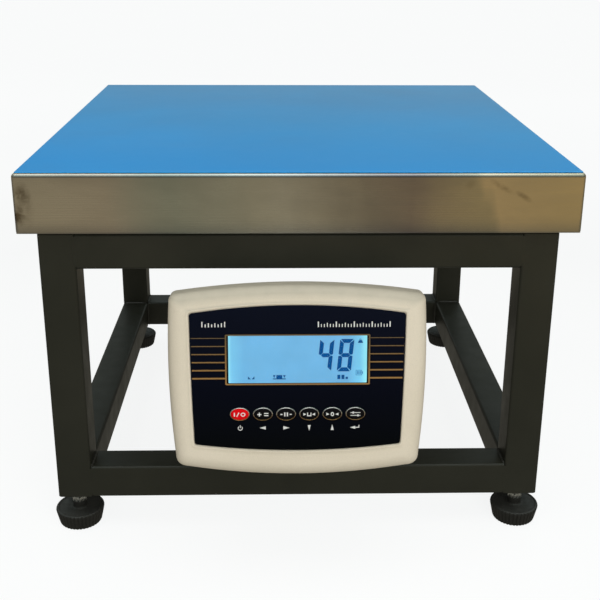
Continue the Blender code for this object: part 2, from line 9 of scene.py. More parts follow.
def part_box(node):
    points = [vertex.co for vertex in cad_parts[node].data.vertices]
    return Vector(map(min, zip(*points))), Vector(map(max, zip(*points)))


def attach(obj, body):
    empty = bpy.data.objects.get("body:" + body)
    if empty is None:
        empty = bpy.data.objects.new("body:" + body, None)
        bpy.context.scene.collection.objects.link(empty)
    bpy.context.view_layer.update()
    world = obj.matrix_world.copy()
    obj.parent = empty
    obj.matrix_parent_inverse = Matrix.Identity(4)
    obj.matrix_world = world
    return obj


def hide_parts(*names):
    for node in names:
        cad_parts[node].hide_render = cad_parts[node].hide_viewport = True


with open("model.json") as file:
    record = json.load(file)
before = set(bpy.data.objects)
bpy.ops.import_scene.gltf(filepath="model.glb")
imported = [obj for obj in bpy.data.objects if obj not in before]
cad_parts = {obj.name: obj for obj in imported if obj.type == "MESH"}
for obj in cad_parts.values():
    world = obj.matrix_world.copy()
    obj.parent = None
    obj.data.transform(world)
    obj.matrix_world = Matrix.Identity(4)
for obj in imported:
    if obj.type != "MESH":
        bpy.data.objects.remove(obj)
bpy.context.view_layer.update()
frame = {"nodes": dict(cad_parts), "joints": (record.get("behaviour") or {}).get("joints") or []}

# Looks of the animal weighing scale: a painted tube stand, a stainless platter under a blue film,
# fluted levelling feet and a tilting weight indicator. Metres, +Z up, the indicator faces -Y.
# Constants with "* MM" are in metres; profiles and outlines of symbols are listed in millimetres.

MM = 0.001
CORNER_NAMES = ("front_left", "front_right", "back_left", "back_right")
KEY_NAMES = ("on_off", "total", "hold", "tare", "zero", "set")

# Stand
TUBE_CORNER = 3.2 * MM
LEG_CHAMFER = 0.6 * MM
RAIL_CHAMFER = 0.1 * MM
BEAD_RADIUS = 1.7 * MM
# radius of the upright runs against the level ones
BEAD_SHARE = 0.8
BEAD_RIPPLE = 0.35 * MM
BEAD_STEP = 1.1 * MM
# flush welds: their size, waves and place at the end of a rail
SEAM_HALF_WIDTH = 3.4 * MM
SEAM_SHORT = 2.6 * MM
SEAM_LIFT = 0.1 * MM
SEAM_SINK = 0.3 * MM
SEAM_WAVE = 0.12 * MM
SEAM_RAGGED = 0.9 * MM
SEAM_MIDDLE = 1.6 * MM
SEAM_EDGE = 0.3 * MM
WELD_END = 3 * MM

# Feet
FLUTES = 38
FLUTE_DEPTH = 1.1 * MM
PAD_STEPS = FLUTES * 8
# fluted side of a pad: distance in from the rim, height, share of the flutes' depth
PAD_SIDE = ((6, 0, 0.3), (4.3, 0, 0.7), (3.6, 1.2, 1), (2, 8, 1), (0.4, 15.4, 1), (0.1, 16.8, 0.85),
            (0.3, 18, 0.5), (1, 19, 0.12), (2, 19.5, 0))
# its top, from the rim to the hub: distance in from the rim and height, then radius and height
PAD_RIM = ((2.8, 19.3), (4.2, 18.5))
PAD_HUB = ((16, 18.2), (10, 18.4), (8.2, 19.6), (7.9, 22), (7.8, 26.4), (7.3, 27.1), (6.2, 27.2))
THREAD_PITCH = 1.75 * MM
THREAD_DEPTH = 0.75 * MM
THREAD_TOP = 46 * MM
STUD_CREST = 5.9 * MM
STUD_NECK = 5.2 * MM
STUD_STEPS = 72
STUD_HEX = (27.5 * MM, 34 * MM)
# height from the hexagon's end and the radius its corners are turned to
STUD_HEX_RINGS = ((0, 7.7), (0.2, 8.1), (0.8, 9.4))
STUD_HEX_FLAT = 8 * MM

# Platter
SHEET = 1.5 * MM
BEND = 4.6 * MM
# inset and height pairs
FILM_EDGE = ((0.05, 0), (0, 0.1), (0.06, 0.3), (0.22, 0.52), (0.48, 0.7))
# stains on the skirt: centre, half sizes, lean in degrees and strength
SMUDGES = (((-0.290, -0.25, 0.414), (0.010, 0.03, 0.016), 0, 0.8),
           ((-0.296, -0.25, 0.392), (0.009, 0.03, 0.014), 0, 1.0),
           ((-0.288, -0.25, 0.401), (0.012, 0.03, 0.026), 0, 0.35),
           ((0.211, -0.25, 0.423), (0.018, 0.03, 0.004), 31, 0.4),
           ((0.235, -0.25, 0.412), (0.012, 0.03, 0.004), 33, 0.55),
           ((0.178, -0.25, 0.425), (0.006, 0.03, 0.007), 50, 0.25))
# faint painted reflection bands on the sheet, standing in for the room the skirt mirrors, from the left end
# to the right: greenish, clean, brown, then gold
PAINTED_REFLECTION_BANDS = ((0.05, (0.98, 0.98, 1.02)), (0.17, (0.97, 0.96, 1.02)), (0.27, (0.75, 0.89, 1.0)),
           (0.40, (0.96, 1.06, 1.2)), (0.48, (0.93, 1.03, 1.22)), (0.60, (0.53, 0.57, 0.71)),
           (0.69, (0.48, 0.49, 0.64)), (0.815, (0.72, 0.76, 0.80)), (0.83, (1.02, 1.0, 0.99)),
           (1.0, (1.04, 1.04, 0.98)))

# Upper spacer: what its travel needs below it
SPACER_ROOM = 0.45 * MM

# Indicator, in face coordinates: x to the right, y behind the face, z up the face
PIVOT_TO_FACE = 88 * MM
COVER_DEPTH = 68 * MM
# outlines: half widths at the top and bottom, top and bottom heights, rise, drop, corner radii, bulge
HOUSING_OUTLINE = [v * MM for v in (132.2, 126.6, 84.5, -99.3, 8.7, 9, 9, 13, 3.4)]
PANEL_OUTLINE = [v * MM for v in (110.3, 106.2, 66.4, -72.2, 7.9, 6.4, 3.5, 3.5, 0.6)]
CORNER_SHRINK = 0.35
LEAST_CORNER = 1.5 * MM
# inset and depth pairs of the two shells
CASE_REAR = ((1.2, 31.98), (0.25, 31.9), (0, 31.4), (0, 27), (0, 20))
CASE_LIP = ((-2.7, 0.05), (-2.2, 0), (-1.8, 0.05), (-1.35, 0.22), (-0.9, 0.48), (-0.55, 0.8),
            (-0.42, 1.2), (-0.4, 2.4), (4, 2.4))
CASE_INSIDE = ((6, 10), (4, 31))
COVER_BACK = ((0.8, 32.3), (2.6, 46), (6.2, 56), (11.2, 62.5), (16.5, 66.2), (20, 67.7))
PANEL_FRONT = 0.6 * MM
PANEL_SHEET = 1.1 * MM
PRINT = 0.12 * MM
WINDOW_HEIGHT = 17.7 * MM
WINDOW_SIZE = (148 * MM, 53 * MM)
SCREEN_SIZE = (141.8 * MM, 49.8 * MM)
SCREEN_DEPTH = 2.15 * MM
INK = 0.05 * MM
INK_FRONT = SCREEN_DEPTH - 0.16 * MM
GOLD_FRAME = (73.9 * MM, 26.5 * MM)
GOLD_LINE = 1.4 * MM
STRIPE_HEIGHTS = [(40.3 - 8.43 * i) * MM for i in range(6)]
DIGIT_SIZE = (14.5 * MM, 34 * MM)
DIGIT_STROKE = 4.15 * MM
DIGIT_GAP = 0.32 * MM
DIGIT_SLANT = 0.103
DIGIT_MIDDLE = 21.8 * MM
DIGITS = (("4", 28.7 * MM), ("8", 49 * MM))
SEGMENTS = {"4": "fgbc", "8": "abcdefg"}
WEIGHT_MARK = ((61.4, 34.6), (66.8, 34.6), (65.7, 37.3), (62.5, 37.3))
NET_MARKS = ((-49.4, 1.5), (-45.7, -1.5))
MARK_BLOCKS = ((-25.4, -3.4, -12.2, -2.4), (-21.8, -2.4, -15.8, 1.1), (40.8, -3.4, 43.8, 1.1),
               (45, -3.4, 48, 1.1), (49.2, -3.4, 51.6, -1))
# rows of ticks: count, start, length and foot
LONG_ROW = (25, 21, 73, 51.6)
SHORT_ROW = (8, -97, 23, 51.8)

# Keys
KEY_PITCH = 23.8 * MM
KEY_HEIGHT = -39.6 * MM
KEY_SIZE = (10.1 * MM, 6.9 * MM)
KEY_HOLE = (10.5 * MM, 7.3 * MM)
KEY_RIM = ((0, 0.6), (0, -0.25), (0.1, -0.55), (0.28, -0.78), (0.5, -0.82), (0.68, -0.74),
           (0.82, -0.45), (0.85, 0.3))
KEY_CAP = ((0.86, 0.3), (0.92, -0.5), (1.35, -1.0), (2.3, -1.32), (3.4, -1.46), (4.4, -1.5))
KEY_TOP = -1.5 * MM
KEY_SINK = 0.4 * MM
LABEL = 0.06 * MM
# the symbols are drawn in millimetres and shown a little larger
SYMBOL_SIZE = 1.18 * MM
# symbols on the keys: boxes as x0, z0, x1, z1; arrowheads as x and direction; then a ring as x, outer
# and inner radius and squeeze
KEY_SYMBOLS = {
    "on_off": (((-5.1, -1.7, -4.1, 1.7),), (), (2.9, 2.1, 1.25, 0.86)),
    "total": (((-4.9, -0.45, -1.3, 0.45), (-3.55, 0.5, -2.65, 1.8), (-3.55, -1.8, -2.65, -0.5),
               (1.0, 0.55, 4.8, 1.4), (1.0, -1.4, 4.8, -0.55)), (), ()),
    "hold": (((-1.7, -1.8, -0.6, 1.8), (0.6, -1.8, 1.7, 1.8), (-5, -0.45, -3.1, 0.45),
              (3.1, -0.45, 5, 0.45)), (), ()),
    "tare": (((-1.9, -1.8, 1.9, -0.95), (-1.9, -0.9, -1.05, 1.5), (1.05, -0.9, 1.9, 1.5)),
             ((-3.9, 0), (3.9, 180)), ()),
    "zero": ((), ((-4.1, 0), (4.1, 180)), (0, 1.5, 0.75, 1.25)),
    "set": (((-4.4, 0.95, 4.4, 1.55), (-4.4, -1.55, 4.4, -0.95), (-2.6, 0.3, -1.3, 2.2),
             (1.5, -2.2, 2.8, -0.3)), (), ()),
}
SLASH = ((-2.6, -1.9), (-0.6, 1.9), 0.85)
ARROWHEAD = 2.4
ICON_HEIGHT = -54.6 * MM
# arrowheads under the keys: key, shift, size, direction, stretch across and up
ICONS = ((1, 0, 4.9, 180, 1.15, 0.72), (2, 0, 4.9, 0, 1.15, 0.72), (3, 0, 4.9, -90, 0.62, 1.1),
         (4, 0, 4.9, 90, 0.62, 1.1), (5, -2.4, 4.4, 180, 1.1, 0.75))

# Nodes that keep their CAD shape: look and rounding in millimetres
FINISHES = {"load_cell": ("aluminium", 0.8), "lower_spacer": ("steel", 0.3), "indicator_post": ("paint", 0.7),
            "tilt_yoke": ("paint", 0.6), "tilt_lug": ("paint", 0.6), "lcd_module": ("plastic", 0.2),
            "main_board": ("board", 0.1), "battery": ("plastic", 0.8)}

# Bolts: radius to the corners, height, width over flats and radius of the shank
HEX_STEPS = 72
BOLT_CHAMFER = 0.5 * MM
POST_BOLT = (5.7 * MM, 4 * MM, 10 * MM, 3 * MM)
TILT_BOLT = (6.9 * MM, 5 * MM, 12 * MM, 3.95 * MM)
TILT_BOLT_SEAT = 5.2 * MM

# Knob, socket, jack and cover screws: profiles as radius and height pairs
KNOB_STEPS = 120
KNOB = ((9, 0.2), (9, 4), (11.5, 5), (14, 6.2), (15, 8.2), (15, 15), (14.3, 17.3), (12.4, 18.8),
        (9, 19.2), (4.6, 19.2), (4.6, 0.2))
INLET_X = 60 * MM
INLET_Z = -40 * MM
SOCKET_FLANGE = ((7.9, -9), (7.9, 0.3), (11, 0.3), (11, 1.6), (10.6, 2), (9, 2))
SOCKET_MOUTH = ((8.7, 5), (7.1, 5), (7.1, -5))
SOCKET_CORE = ((7, -5), (7, 1.5), (6.6, 1.8), (0.4, 1.8))
SOCKET_PIN = ((0.75, 1.7), (0.75, 4), (0.4, 4.4))
PIN_CIRCLE = 3.9 * MM
JACK = ((6, -9), (6, 0.3), (8, 0.3), (8, 2), (7.6, 2.4), (4.5, 2.4), (4.2, 2.1), (4.2, -5))
JACK_PIN = ((1, -5), (1, 0.6), (0.6, 1))
SCREW = ((1.5, -11), (1.5, 0.3), (3.6, 0.3), (3.55, 0.9), (3.1, 1.6), (2.2, 2.05), (0.6, 2.15))
SCREW_TOP = 2.12 * MM
SCREW_CROSS = (1.9 * MM, 0.3 * MM)

# Studio; lights are name, place, target, size, power, colour and whether reflections show them
FLOOR_REACH = 14
BACKDROP = (0.939, 0.947, 0.947, 1)
ROOM_STRENGTH = 0.55
LIGHTS = (("ceiling", (-0.1, -0.5, 2.6), (0, 0, 0.3), (2.4, 2.0), 24, (1.0, 0.99, 0.96), True),
          ("front_fill", (0.6, -2.7, 1.0), (0, 0, 0.25), (2.2, 1.2), 42, (1.0, 0.985, 0.95), False),
          ("rear_wash", (0.5, 2.8, 1.5), (0, 0, 0.4), (2.6, 1.2), 10, (0.97, 0.99, 1.0), False))
CAMERA_SPOT = (-0.0234, -1.2342, 0.6778)
CAMERA_PAN = -0.0237
CAMERA_DIP = 0.3245
CAMERA_ROLL = 0.0049
CAMERA_LENS = 58.297
CAMERA_SHIFT = -0.0739


# ---------------------------------------------------------------- materials

class Shading:
    """A node tree, with helpers for procedural nodes in object coordinates."""

    def __init__(self, tree):
        self.tree = tree

    def node(self, kind, inputs=(), **settings):
        made = self.tree.nodes.new(kind)
        for setting, value in settings.items():
            setattr(made, setting, value)
        for socket, value in dict(inputs).items():
            self.feed(made.inputs[socket], value)
        return made

    def feed(self, socket, value):
        if isinstance(value, bpy.types.NodeSocket):
            self.tree.links.new(value, socket)
        else:
            socket.default_value = value

    def place(self, scale=(1, 1, 1), source="Object"):
        coordinates = self.node("ShaderNodeTexCoord")
        mapping = self.node("ShaderNodeMapping", {"Vector": coordinates.outputs[source], "Scale": scale})
        return mapping.outputs[0]

    def noise(self, scale, stretch=(1, 1, 1), detail=4, roughness=0.55, distortion=0.0):
        inputs = {"Vector": self.place(stretch), "Scale": scale, "Detail": detail, "Roughness": roughness,
                  "Distortion": distortion}
        return self.node("ShaderNodeTexNoise", inputs).outputs["Fac"]

    def ramp(self, value, *stops):
        made = self.node("ShaderNodeValToRGB", {"Fac": value})
        elements = made.color_ramp.elements
        for index, (position, colour) in enumerate(stops):
            element = elements[index] if index < 2 else elements.new(position)
            element.position = position
            element.color = (*colour, 1) if isinstance(colour, tuple) else (colour, colour, colour, 1)
        return made.outputs["Color"]

    def cloud(self, scale, low, high, **settings):
        """Noise turned into a tone between two colours or strengths."""
        return self.ramp(self.noise(scale, **settings), (0.3, low), (0.7, high))

    def range(self, value, low, high, start=0.0, end=1.0):
        return self.node("ShaderNodeMapRange", {"Value": value, "From Min": start, "From Max": end,
                                                "To Min": low, "To Max": high}).outputs["Result"]

    def math(self, operation, first, second=0.0):
        made = self.node("ShaderNodeMath", operation=operation)
        self.feed(made.inputs[0], first)
        self.feed(made.inputs[1], second)
        return made.outputs[0]

    def mix(self, factor, first, second, blend='MIX'):
        made = self.node("ShaderNodeMix", data_type='RGBA', blend_type=blend)
        self.feed(made.inputs[0], factor)
        for socket, value in ((made.inputs[6], first), (made.inputs[7], second)):
            self.feed(socket, (*value, 1) if isinstance(value, tuple) else value)
        return made.outputs[2]

    def times(self, first, second):
        return self.mix(1.0, first, second, 'MULTIPLY')

    def axis(self, letter, source="Object"):
        coordinates = self.node("ShaderNodeTexCoord")
        return self.node("ShaderNodeSeparateXYZ", {0: coordinates.outputs[source]}).outputs[letter]

    def upward(self):
        """How far the surface faces up."""
        geometry = self.node("ShaderNodeNewGeometry")
        return self.node("ShaderNodeSeparateXYZ", {0: geometry.outputs["Normal"]}).outputs["Z"]

    def glow(self, colour, strength=1.0):
        return self.node("ShaderNodeEmission", {"Color": colour, "Strength": strength}).outputs[0]

    def by_ray(self, usual, mirrored, shown):
        """One shader for bounced light, one for reflections and one for the camera."""
        path = self.node("ShaderNodeLightPath")
        rays = self.node("ShaderNodeMixShader", {0: path.outputs["Is Glossy Ray"], 1: usual, 2: mirrored})
        return self.node("ShaderNodeMixShader", {0: path.outputs["Is Camera Ray"], 1: rays.outputs[0],
                                                 2: shown}).outputs[0]


class Look(Shading):
    """A material built up from a Principled shader."""

    def __init__(self, name, roughness=0.5, metallic=0.0, **sockets):
        self.material = bpy.data.materials.new(name)
        self.material.use_nodes = True
        super().__init__(self.material.node_tree)
        self.shader = self.tree.nodes["Principled BSDF"]
        self.shader.inputs["Roughness"].default_value = roughness
        self.shader.inputs["Metallic"].default_value = metallic
        for socket, value in sockets.items():
            self.shader.inputs[socket.replace("_", " ")].default_value = value

    def sheen(self, height, low, high):
        """Roughness that follows a noise."""
        self.set("Roughness", self.range(height, low, high, 0.3, 0.7))

    def bump(self, *layers):
        """Layers are (height, strength, distance); each goes on top of the one before."""
        normal = None
        for height, strength, distance in layers:
            made = self.node("ShaderNodeBump", {"Height": height, "Strength": strength, "Distance": distance})
            if normal is not None:
                self.tree.links.new(normal, made.inputs["Normal"])
            normal = made.outputs[0]
        self.tree.links.new(normal, self.shader.inputs["Normal"])

    def set(self, socket, value):
        self.feed(self.shader.inputs[socket], value)


def mottled(name, colour, sheen=(), bump=(), **settings):
    """A look with one clouded colour, a clouded roughness and a fine bump."""
    look = Look(name, **settings)
    scale, detail, low, high = colour
    look.set("Base Color", look.cloud(scale, low, high, detail=detail))
    if sheen:
        scale, detail, low, high = sheen
        look.sheen(look.noise(scale, detail=detail), low, high)
    if bump:
        scale, strength, depth = bump
        look.bump((look.noise(scale, detail=2), strength, depth))
    return look.material


def frame_paint():
    """Semi-gloss black enamel with orange peel, dusty patches and a few nicks."""
    look = Look("frame_paint", 0.4, Specular_IOR_Level=0.3)
    base = look.cloud(9, (0.0160, 0.0168, 0.0120), (0.0230, 0.0236, 0.0172), detail=5)
    speck = look.ramp(look.noise(160, detail=6, roughness=0.7), (0.66, 0.0), (0.78, 1.0))
    look.set("Base Color", look.mix(look.math('MULTIPLY', speck, 0.3), base, (0.06, 0.058, 0.046)))
    look.sheen(look.noise(35, detail=4), 0.36, 0.48)
    look.bump((look.noise(620, detail=2), 0.03, 0.0005))
    return look.material


def painted_skirt_reflection(look):
    """Painted reflection bands along the skirt, leaning a little and uneven at their edges."""
    along = look.math('ADD', look.axis("X"), look.math('MULTIPLY', look.axis("Z"), 0.12))
    uneven = look.range(look.noise(14, (1, 1, 0.4), detail=3), -0.012, 0.012, 0.35, 0.65)
    return look.ramp(look.range(look.math('ADD', along, uneven), 0.0, 1.0, -0.25, 0.35), *PAINTED_REFLECTION_BANDS)


def stained(look, tone):
    grime = look.ramp(look.noise(110, detail=6, distortion=0.8), (0.38, 0.25), (0.62, 1.0))
    for spot, reach, lean, strength in SMUDGES:
        place = look.node("ShaderNodeTexCoord").outputs["Object"]
        away = look.node("ShaderNodeMapping", {"Vector": place, "Location": spot, "Scale": reach,
                                               "Rotation": (0, math.radians(lean), 0)}, vector_type='TEXTURE')
        ball = look.node("ShaderNodeTexGradient", {"Vector": away.outputs[0]}, gradient_type='SPHERICAL')
        marked = look.math('MULTIPLY', look.range(ball.outputs["Fac"], 0.0, strength, 0.0, 0.7), grime)
        tone = look.mix(marked, tone, (0.13, 0.105, 0.075))
    return tone


def brushed_stainless():
    """Sheet brushed along the skirt, with faint smears, a warm cast and painted reflection bands on its
    front.
    """
    look = Look("brushed_stainless", 0.3, 1.0, Anisotropic=0.7, Anisotropic_Rotation=0.0)
    grain = look.noise(1, (5, 5, 1900), detail=6, roughness=0.7)
    fine = look.noise(1, (16, 16, 5200), detail=3, roughness=0.6)
    smear = look.noise(4.5, (1, 1, 2.2), detail=5, roughness=0.6, distortion=0.6)
    patch = look.noise(2.1, (1, 1, 0.6), detail=2)
    tone = look.ramp(patch, (0.35, (0.40, 0.37, 0.31)), (0.5, (0.46, 0.42, 0.345)),
                     (0.66, (0.52, 0.465, 0.36)))
    tone = look.times(tone, look.ramp(grain, (0.3, 0.95), (0.7, 1.03)))
    tone = look.times(tone, look.ramp(smear, (0.42, 0.93), (0.6, 1.0)))
    # painted reflection: the bands are multiplied into the colour of the front skirt only
    front_reflection_share = look.range(look.axis("Y"), 1.0, 0.0, -0.25, -0.1)
    tone = look.mix(front_reflection_share, tone, painted_skirt_reflection(look), 'MULTIPLY')
    look.set("Base Color", stained(look, tone))
    rough = look.range(grain, 0.22, 0.38, 0.3, 0.7)
    look.set("Roughness", look.math('ADD', rough, look.range(smear, 0.06, -0.04, 0.4, 0.65)))
    look.bump((grain, 0.04, 0.0003), (fine, 0.05, 0.0002))
    return look.material


def blue_film():
    """Smooth blue film with hairline scratches, a little dust, slow waves from below and a painted sheen and
    shade that grey it towards the back.
    """
    look = Look("blue_film", 0.42, Specular_IOR_Level=0.3)
    # painted sheen and shade: the blue greys and pales towards the back and shifts a little towards the right
    depth = look.math('ADD', look.range(look.axis("Y"), 0.0, 1.0, -0.25, 0.35),
                      look.range(look.axis("X"), -0.12, 0.12, -0.3, 0.3))
    base = look.ramp(depth, (0.0, (0.022, 0.305, 0.730)), (0.45, (0.052, 0.330, 0.690)),
                     (0.95, (0.105, 0.340, 0.620)))
    base = look.times(base, look.cloud(3.2, 0.96, 1.03, detail=3))
    dust_and_shade = look.ramp(look.noise(420, detail=5, roughness=0.75), (0.70, 0.0), (0.82, 1.0))
    base = look.mix(look.math('MULTIPLY', dust_and_shade, 0.12), base, (0.2, 0.42, 0.62))
    across = look.ramp(look.noise(1, (3, 700, 1), detail=3), (0.72, 0.0), (0.76, 1.0))
    look.set("Base Color", look.mix(look.math('MULTIPLY', across, 0.05), base, (0.2, 0.45, 0.7)))
    look.sheen(look.noise(12, detail=4), 0.38, 0.48)
    look.bump((look.noise(5, detail=2), 0.05, 0.003), (look.noise(900, detail=2), 0.02, 0.0003))
    return look.material


def machined(name, low, high, stretch):
    look = Look(name, 0.35, 1.0)
    mill = look.noise(1, stretch, detail=4)
    look.set("Base Color", look.ramp(mill, (0.3, low), (0.7, high)))
    look.sheen(mill, 0.26, 0.45)
    look.bump((mill, 0.12, 0.0003))
    return look.material


def rubber():
    """Moulded black rubber, greyed by dust on its upper faces."""
    look = Look("rubber", 0.62)
    dust_and_shade = look.math('MULTIPLY', look.range(look.upward(), 0.0, 0.5, 0.2, 1.0), look.noise(70, detail=5))
    look.set("Base Color", look.mix(dust_and_shade, (0.012, 0.012, 0.0105), (0.068, 0.069, 0.060)))
    look.sheen(look.noise(300), 0.5, 0.75)
    look.bump((look.noise(1300, detail=3), 0.12, 0.0003))
    return look.material


def housing_plastic():
    """Warm grey ABS with a fine spark-eroded texture and painted shade darkening its upward faces."""
    look = Look("housing_plastic", 0.55)
    speck = look.noise(1500, detail=2)
    base = look.cloud(14, (0.700, 0.638, 0.515), (0.735, 0.672, 0.550), detail=3)
    base = look.times(base, look.ramp(speck, (0.35, 0.93), (0.65, 1.03)))
    # painted shade: upward faces are darkened, only a little unevenly
    patchy = look.range(look.noise(60, detail=4), 0.8, 1.0, 0.3, 0.7)
    dust_and_shade = look.math('MULTIPLY', look.range(look.upward(), 0.0, 0.85, 0.2, 0.65), patchy)
    look.set("Base Color", look.mix(dust_and_shade, base, (0.40, 0.375, 0.30)))
    look.sheen(speck, 0.48, 0.66)
    look.bump((speck, 0.35, 0.00035), (look.noise(420, detail=2), 0.12, 0.0005))
    return look.material


def panel_print():
    """Navy overlay that fades to near black towards its lower edge."""
    look = Look("panel_print", 0.36, Specular_IOR_Level=0.06)
    base = look.ramp(look.axis("Z", "Generated"), (0.0, (0.0006, 0.0014, 0.0022)),
                     (0.4, (0.0010, 0.0019, 0.0062)), (1.0, (0.0024, 0.0040, 0.0110)))
    grain = look.noise(2600, detail=2)
    look.set("Base Color", look.times(base, look.ramp(grain, (0.3, 0.8), (0.7, 1.25))))
    look.sheen(look.noise(22, detail=4), 0.3, 0.44)
    look.bump((grain, 0.05, 0.0002))
    return look.material


def gold_print():
    """Metallic ink for the frame and the stripes, brighter towards the bottom."""
    look = Look("gold_print", 0.45, 0.25)
    tone = look.ramp(look.range(look.axis("Z"), 0.0, 1.0, 0.236, 0.292), (0.0, (0.37, 0.205, 0.065)),
                     (0.45, (0.27, 0.155, 0.052)), (0.8, (0.15, 0.098, 0.042)))
    grain = look.noise(1800, detail=2)
    look.set("Base Color", look.times(tone, look.ramp(grain, (0.3, 0.85), (0.7, 1.12))))
    look.bump((grain, 0.08, 0.0002))
    return look.material


def lcd_screen():
    """Backlit blue screen, brightest along its left and right ends."""
    look = Look("lcd_screen", 0.4)
    glow = look.ramp(look.axis("X", "Generated"), (0.0, (0.30, 0.80, 1.0)), (0.025, (0.19, 0.60, 0.90)),
                     (0.11, (0.150, 0.475, 0.80)), (0.86, (0.150, 0.465, 0.79)), (0.95, (0.185, 0.63, 0.92)),
                     (1.0, (0.34, 0.90, 1.0)))
    glow = look.times(glow, look.cloud(26, 0.95, 1.05, detail=2))
    look.set("Base Color", look.times(glow, (0.35, 0.35, 0.35)))
    look.set("Emission Color", glow)
    look.set("Emission Strength", 0.64)
    return look.material


def key_rim():
    look = Look("key_rim", 0.24, 1.0)
    tone = look.ramp(look.axis("Z", "Generated"), (0.25, (0.55, 0.33, 0.14)), (0.62, (0.92, 0.91, 0.89)))
    look.set("Base Color", look.times(tone, look.cloud(700, 0.88, 1.08, detail=3)))
    look.sheen(look.noise(1500, detail=2), 0.18, 0.32)
    return look.material


def key_plastic(name, low, high):
    return mottled(name, (500, 3, low, high), (900, 2, 0.24, 0.4), (2400, 0.06, 0.0002),
                   roughness=0.36, Specular_IOR_Level=0.06)


def lcd_ink(name, low, high, glow, strength):
    return mottled(name, (900, 2, low, high), roughness=0.6, Specular_IOR_Level=0.0,
                   Emission_Color=glow, Emission_Strength=strength)


def circuit_board():
    look = Look("circuit_board", 0.45)
    tracks = look.noise(1, (260, 900, 90), detail=1)
    look.set("Base Color", look.ramp(tracks, (0.49, (0.008, 0.085, 0.035)), (0.51, (0.02, 0.16, 0.06))))
    look.bump((look.noise(400), 0.2, 0.0002))
    return look.material


LOOKS = {
    "paint": frame_paint(), "stainless": brushed_stainless(), "film": blue_film(), "rubber": rubber(),
    "housing": housing_plastic(), "panel": panel_print(), "gold": gold_print(), "screen": lcd_screen(),
    "rim": key_rim(), "board": circuit_board(),
    "weld": mottled("weld_paint", (240, 4, (0.016, 0.016, 0.013), (0.03, 0.03, 0.024)), (90, 4, 0.28, 0.46),
                    (900, 0.12, 0.0006), roughness=0.36),
    "zinc": mottled("zinc", (260, 5, (0.56, 0.575, 0.565), (0.74, 0.75, 0.73)), (700, 3, 0.18, 0.38),
                    (1500, 0.08, 0.0003), roughness=0.25, metallic=1.0),
    "white": mottled("white_print", (2200, 2, (0.60, 0.62, 0.62), (0.78, 0.79, 0.78)), (),
                     (2600, 0.05, 0.0002), roughness=0.45),
    "glass": mottled("window_glass", (40, 2, (0.93, 0.97, 0.99), (0.97, 0.99, 1.0)), (60, 3, 0.02, 0.07),
                     roughness=0.04, Transmission_Weight=1.0, IOR=1.12),
    "plastic": mottled("black_plastic", (350, 4, (0.014, 0.014, 0.015), (0.026, 0.026, 0.027)),
                       (1200, 4, 0.36, 0.56), (1700, 0.2, 0.0003), roughness=0.45),
    "steel": machined("machined_steel", (0.36, 0.36, 0.35), (0.52, 0.52, 0.51), (900, 40, 900)),
    "aluminium": machined("machined_aluminium", (0.55, 0.56, 0.57), (0.72, 0.73, 0.74), (30, 900, 900)),
    "ink": lcd_ink("lcd_ink", (0.003, 0.036, 0.15), (0.004, 0.046, 0.18), (0.002, 0.072, 0.23, 1), 0.55),
    "faint": lcd_ink("lcd_faint_ink", (0.03, 0.15, 0.36), (0.045, 0.18, 0.42), (0.04, 0.17, 0.40, 1), 0.4),
    "red": key_plastic("key_red", (0.60, 0.001, 0.004), (0.74, 0.003, 0.007)),
    "black": key_plastic("key_black", (0.0025, 0.0025, 0.003), (0.005, 0.005, 0.006)),
}


# ---------------------------------------------------------------- shape helpers

def joint(name):
    return next(entry for entry in frame["joints"] if entry["name"] == name)


def face_matrix():
    """Face coordinates to the row frame, from the tilt joint and a key's direction of travel."""
    press = joint("key_zero_press")["axis"]
    lean = math.atan2(press[2], press[1])
    forward = Matrix.Translation((0, -PIVOT_TO_FACE, 0))
    return Matrix.Translation(PIVOT) @ Matrix.Rotation(lean, 4, 'X') @ forward


PIVOT = Vector(joint("indicator_tilt")["pos_m"])
FACE = face_matrix()
BACKWARDS = Matrix.Rotation(-math.pi / 2, 4, 'X')


def mm(values):
    """Millimetres to metres, through any nesting."""
    return tuple(mm(value) if isinstance(value, tuple) else value * MM for value in values)


def piece(name, builder, look, body, stands_for=(), matrix=None, smooth=35):
    """A finished object in the row frame that rides on a body and may stand for CAD nodes."""
    if matrix is not None:
        bmesh.ops.transform(builder, matrix=matrix, verts=builder.verts)
    bmesh.ops.recalc_face_normals(builder, faces=builder.faces)
    mesh = bpy.data.meshes.new(name)
    builder.to_mesh(mesh)
    builder.free()
    mesh.materials.append(LOOKS[look])
    mesh.shade_smooth()
    mesh.set_sharp_from_angle(angle=math.radians(smooth))
    made = bpy.data.objects.new(name, mesh)
    bpy.context.scene.collection.objects.link(made)
    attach(made, body)
    if stands_for:
        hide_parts(*stands_for)


def on_face(name, builder, look, stands_for=(), smooth=35, at=Matrix()):
    """A piece of the indicator, drawn in face coordinates."""
    piece(name, builder, look, "indicator", stands_for, FACE @ at, smooth)


def merged(builders):
    """Several bmeshes put together in one."""
    whole = bmesh.new()
    for builder in builders:
        mesh = bpy.data.meshes.new("part")
        builder.to_mesh(mesh)
        builder.free()
        whole.from_mesh(mesh)
        bpy.data.meshes.remove(mesh)
    return whole


def loft(rings, closed=False):
    """Skin over rings of equal count, capped at both ends unless it closes on itself."""
    builder = bmesh.new()
    loops = [[builder.verts.new(point) for point in ring] for ring in rings]
    count = len(loops[0])
    pairs = list(zip(loops, loops[1:])) + ([(loops[-1], loops[0])] if closed else [])
    for low, high in pairs:
        for i in range(count):
            builder.faces.new((low[i], low[(i + 1) % count], high[(i + 1) % count], high[i]))
    if not closed:
        builder.faces.new(loops[0])
        builder.faces.new(loops[-1])
    return builder


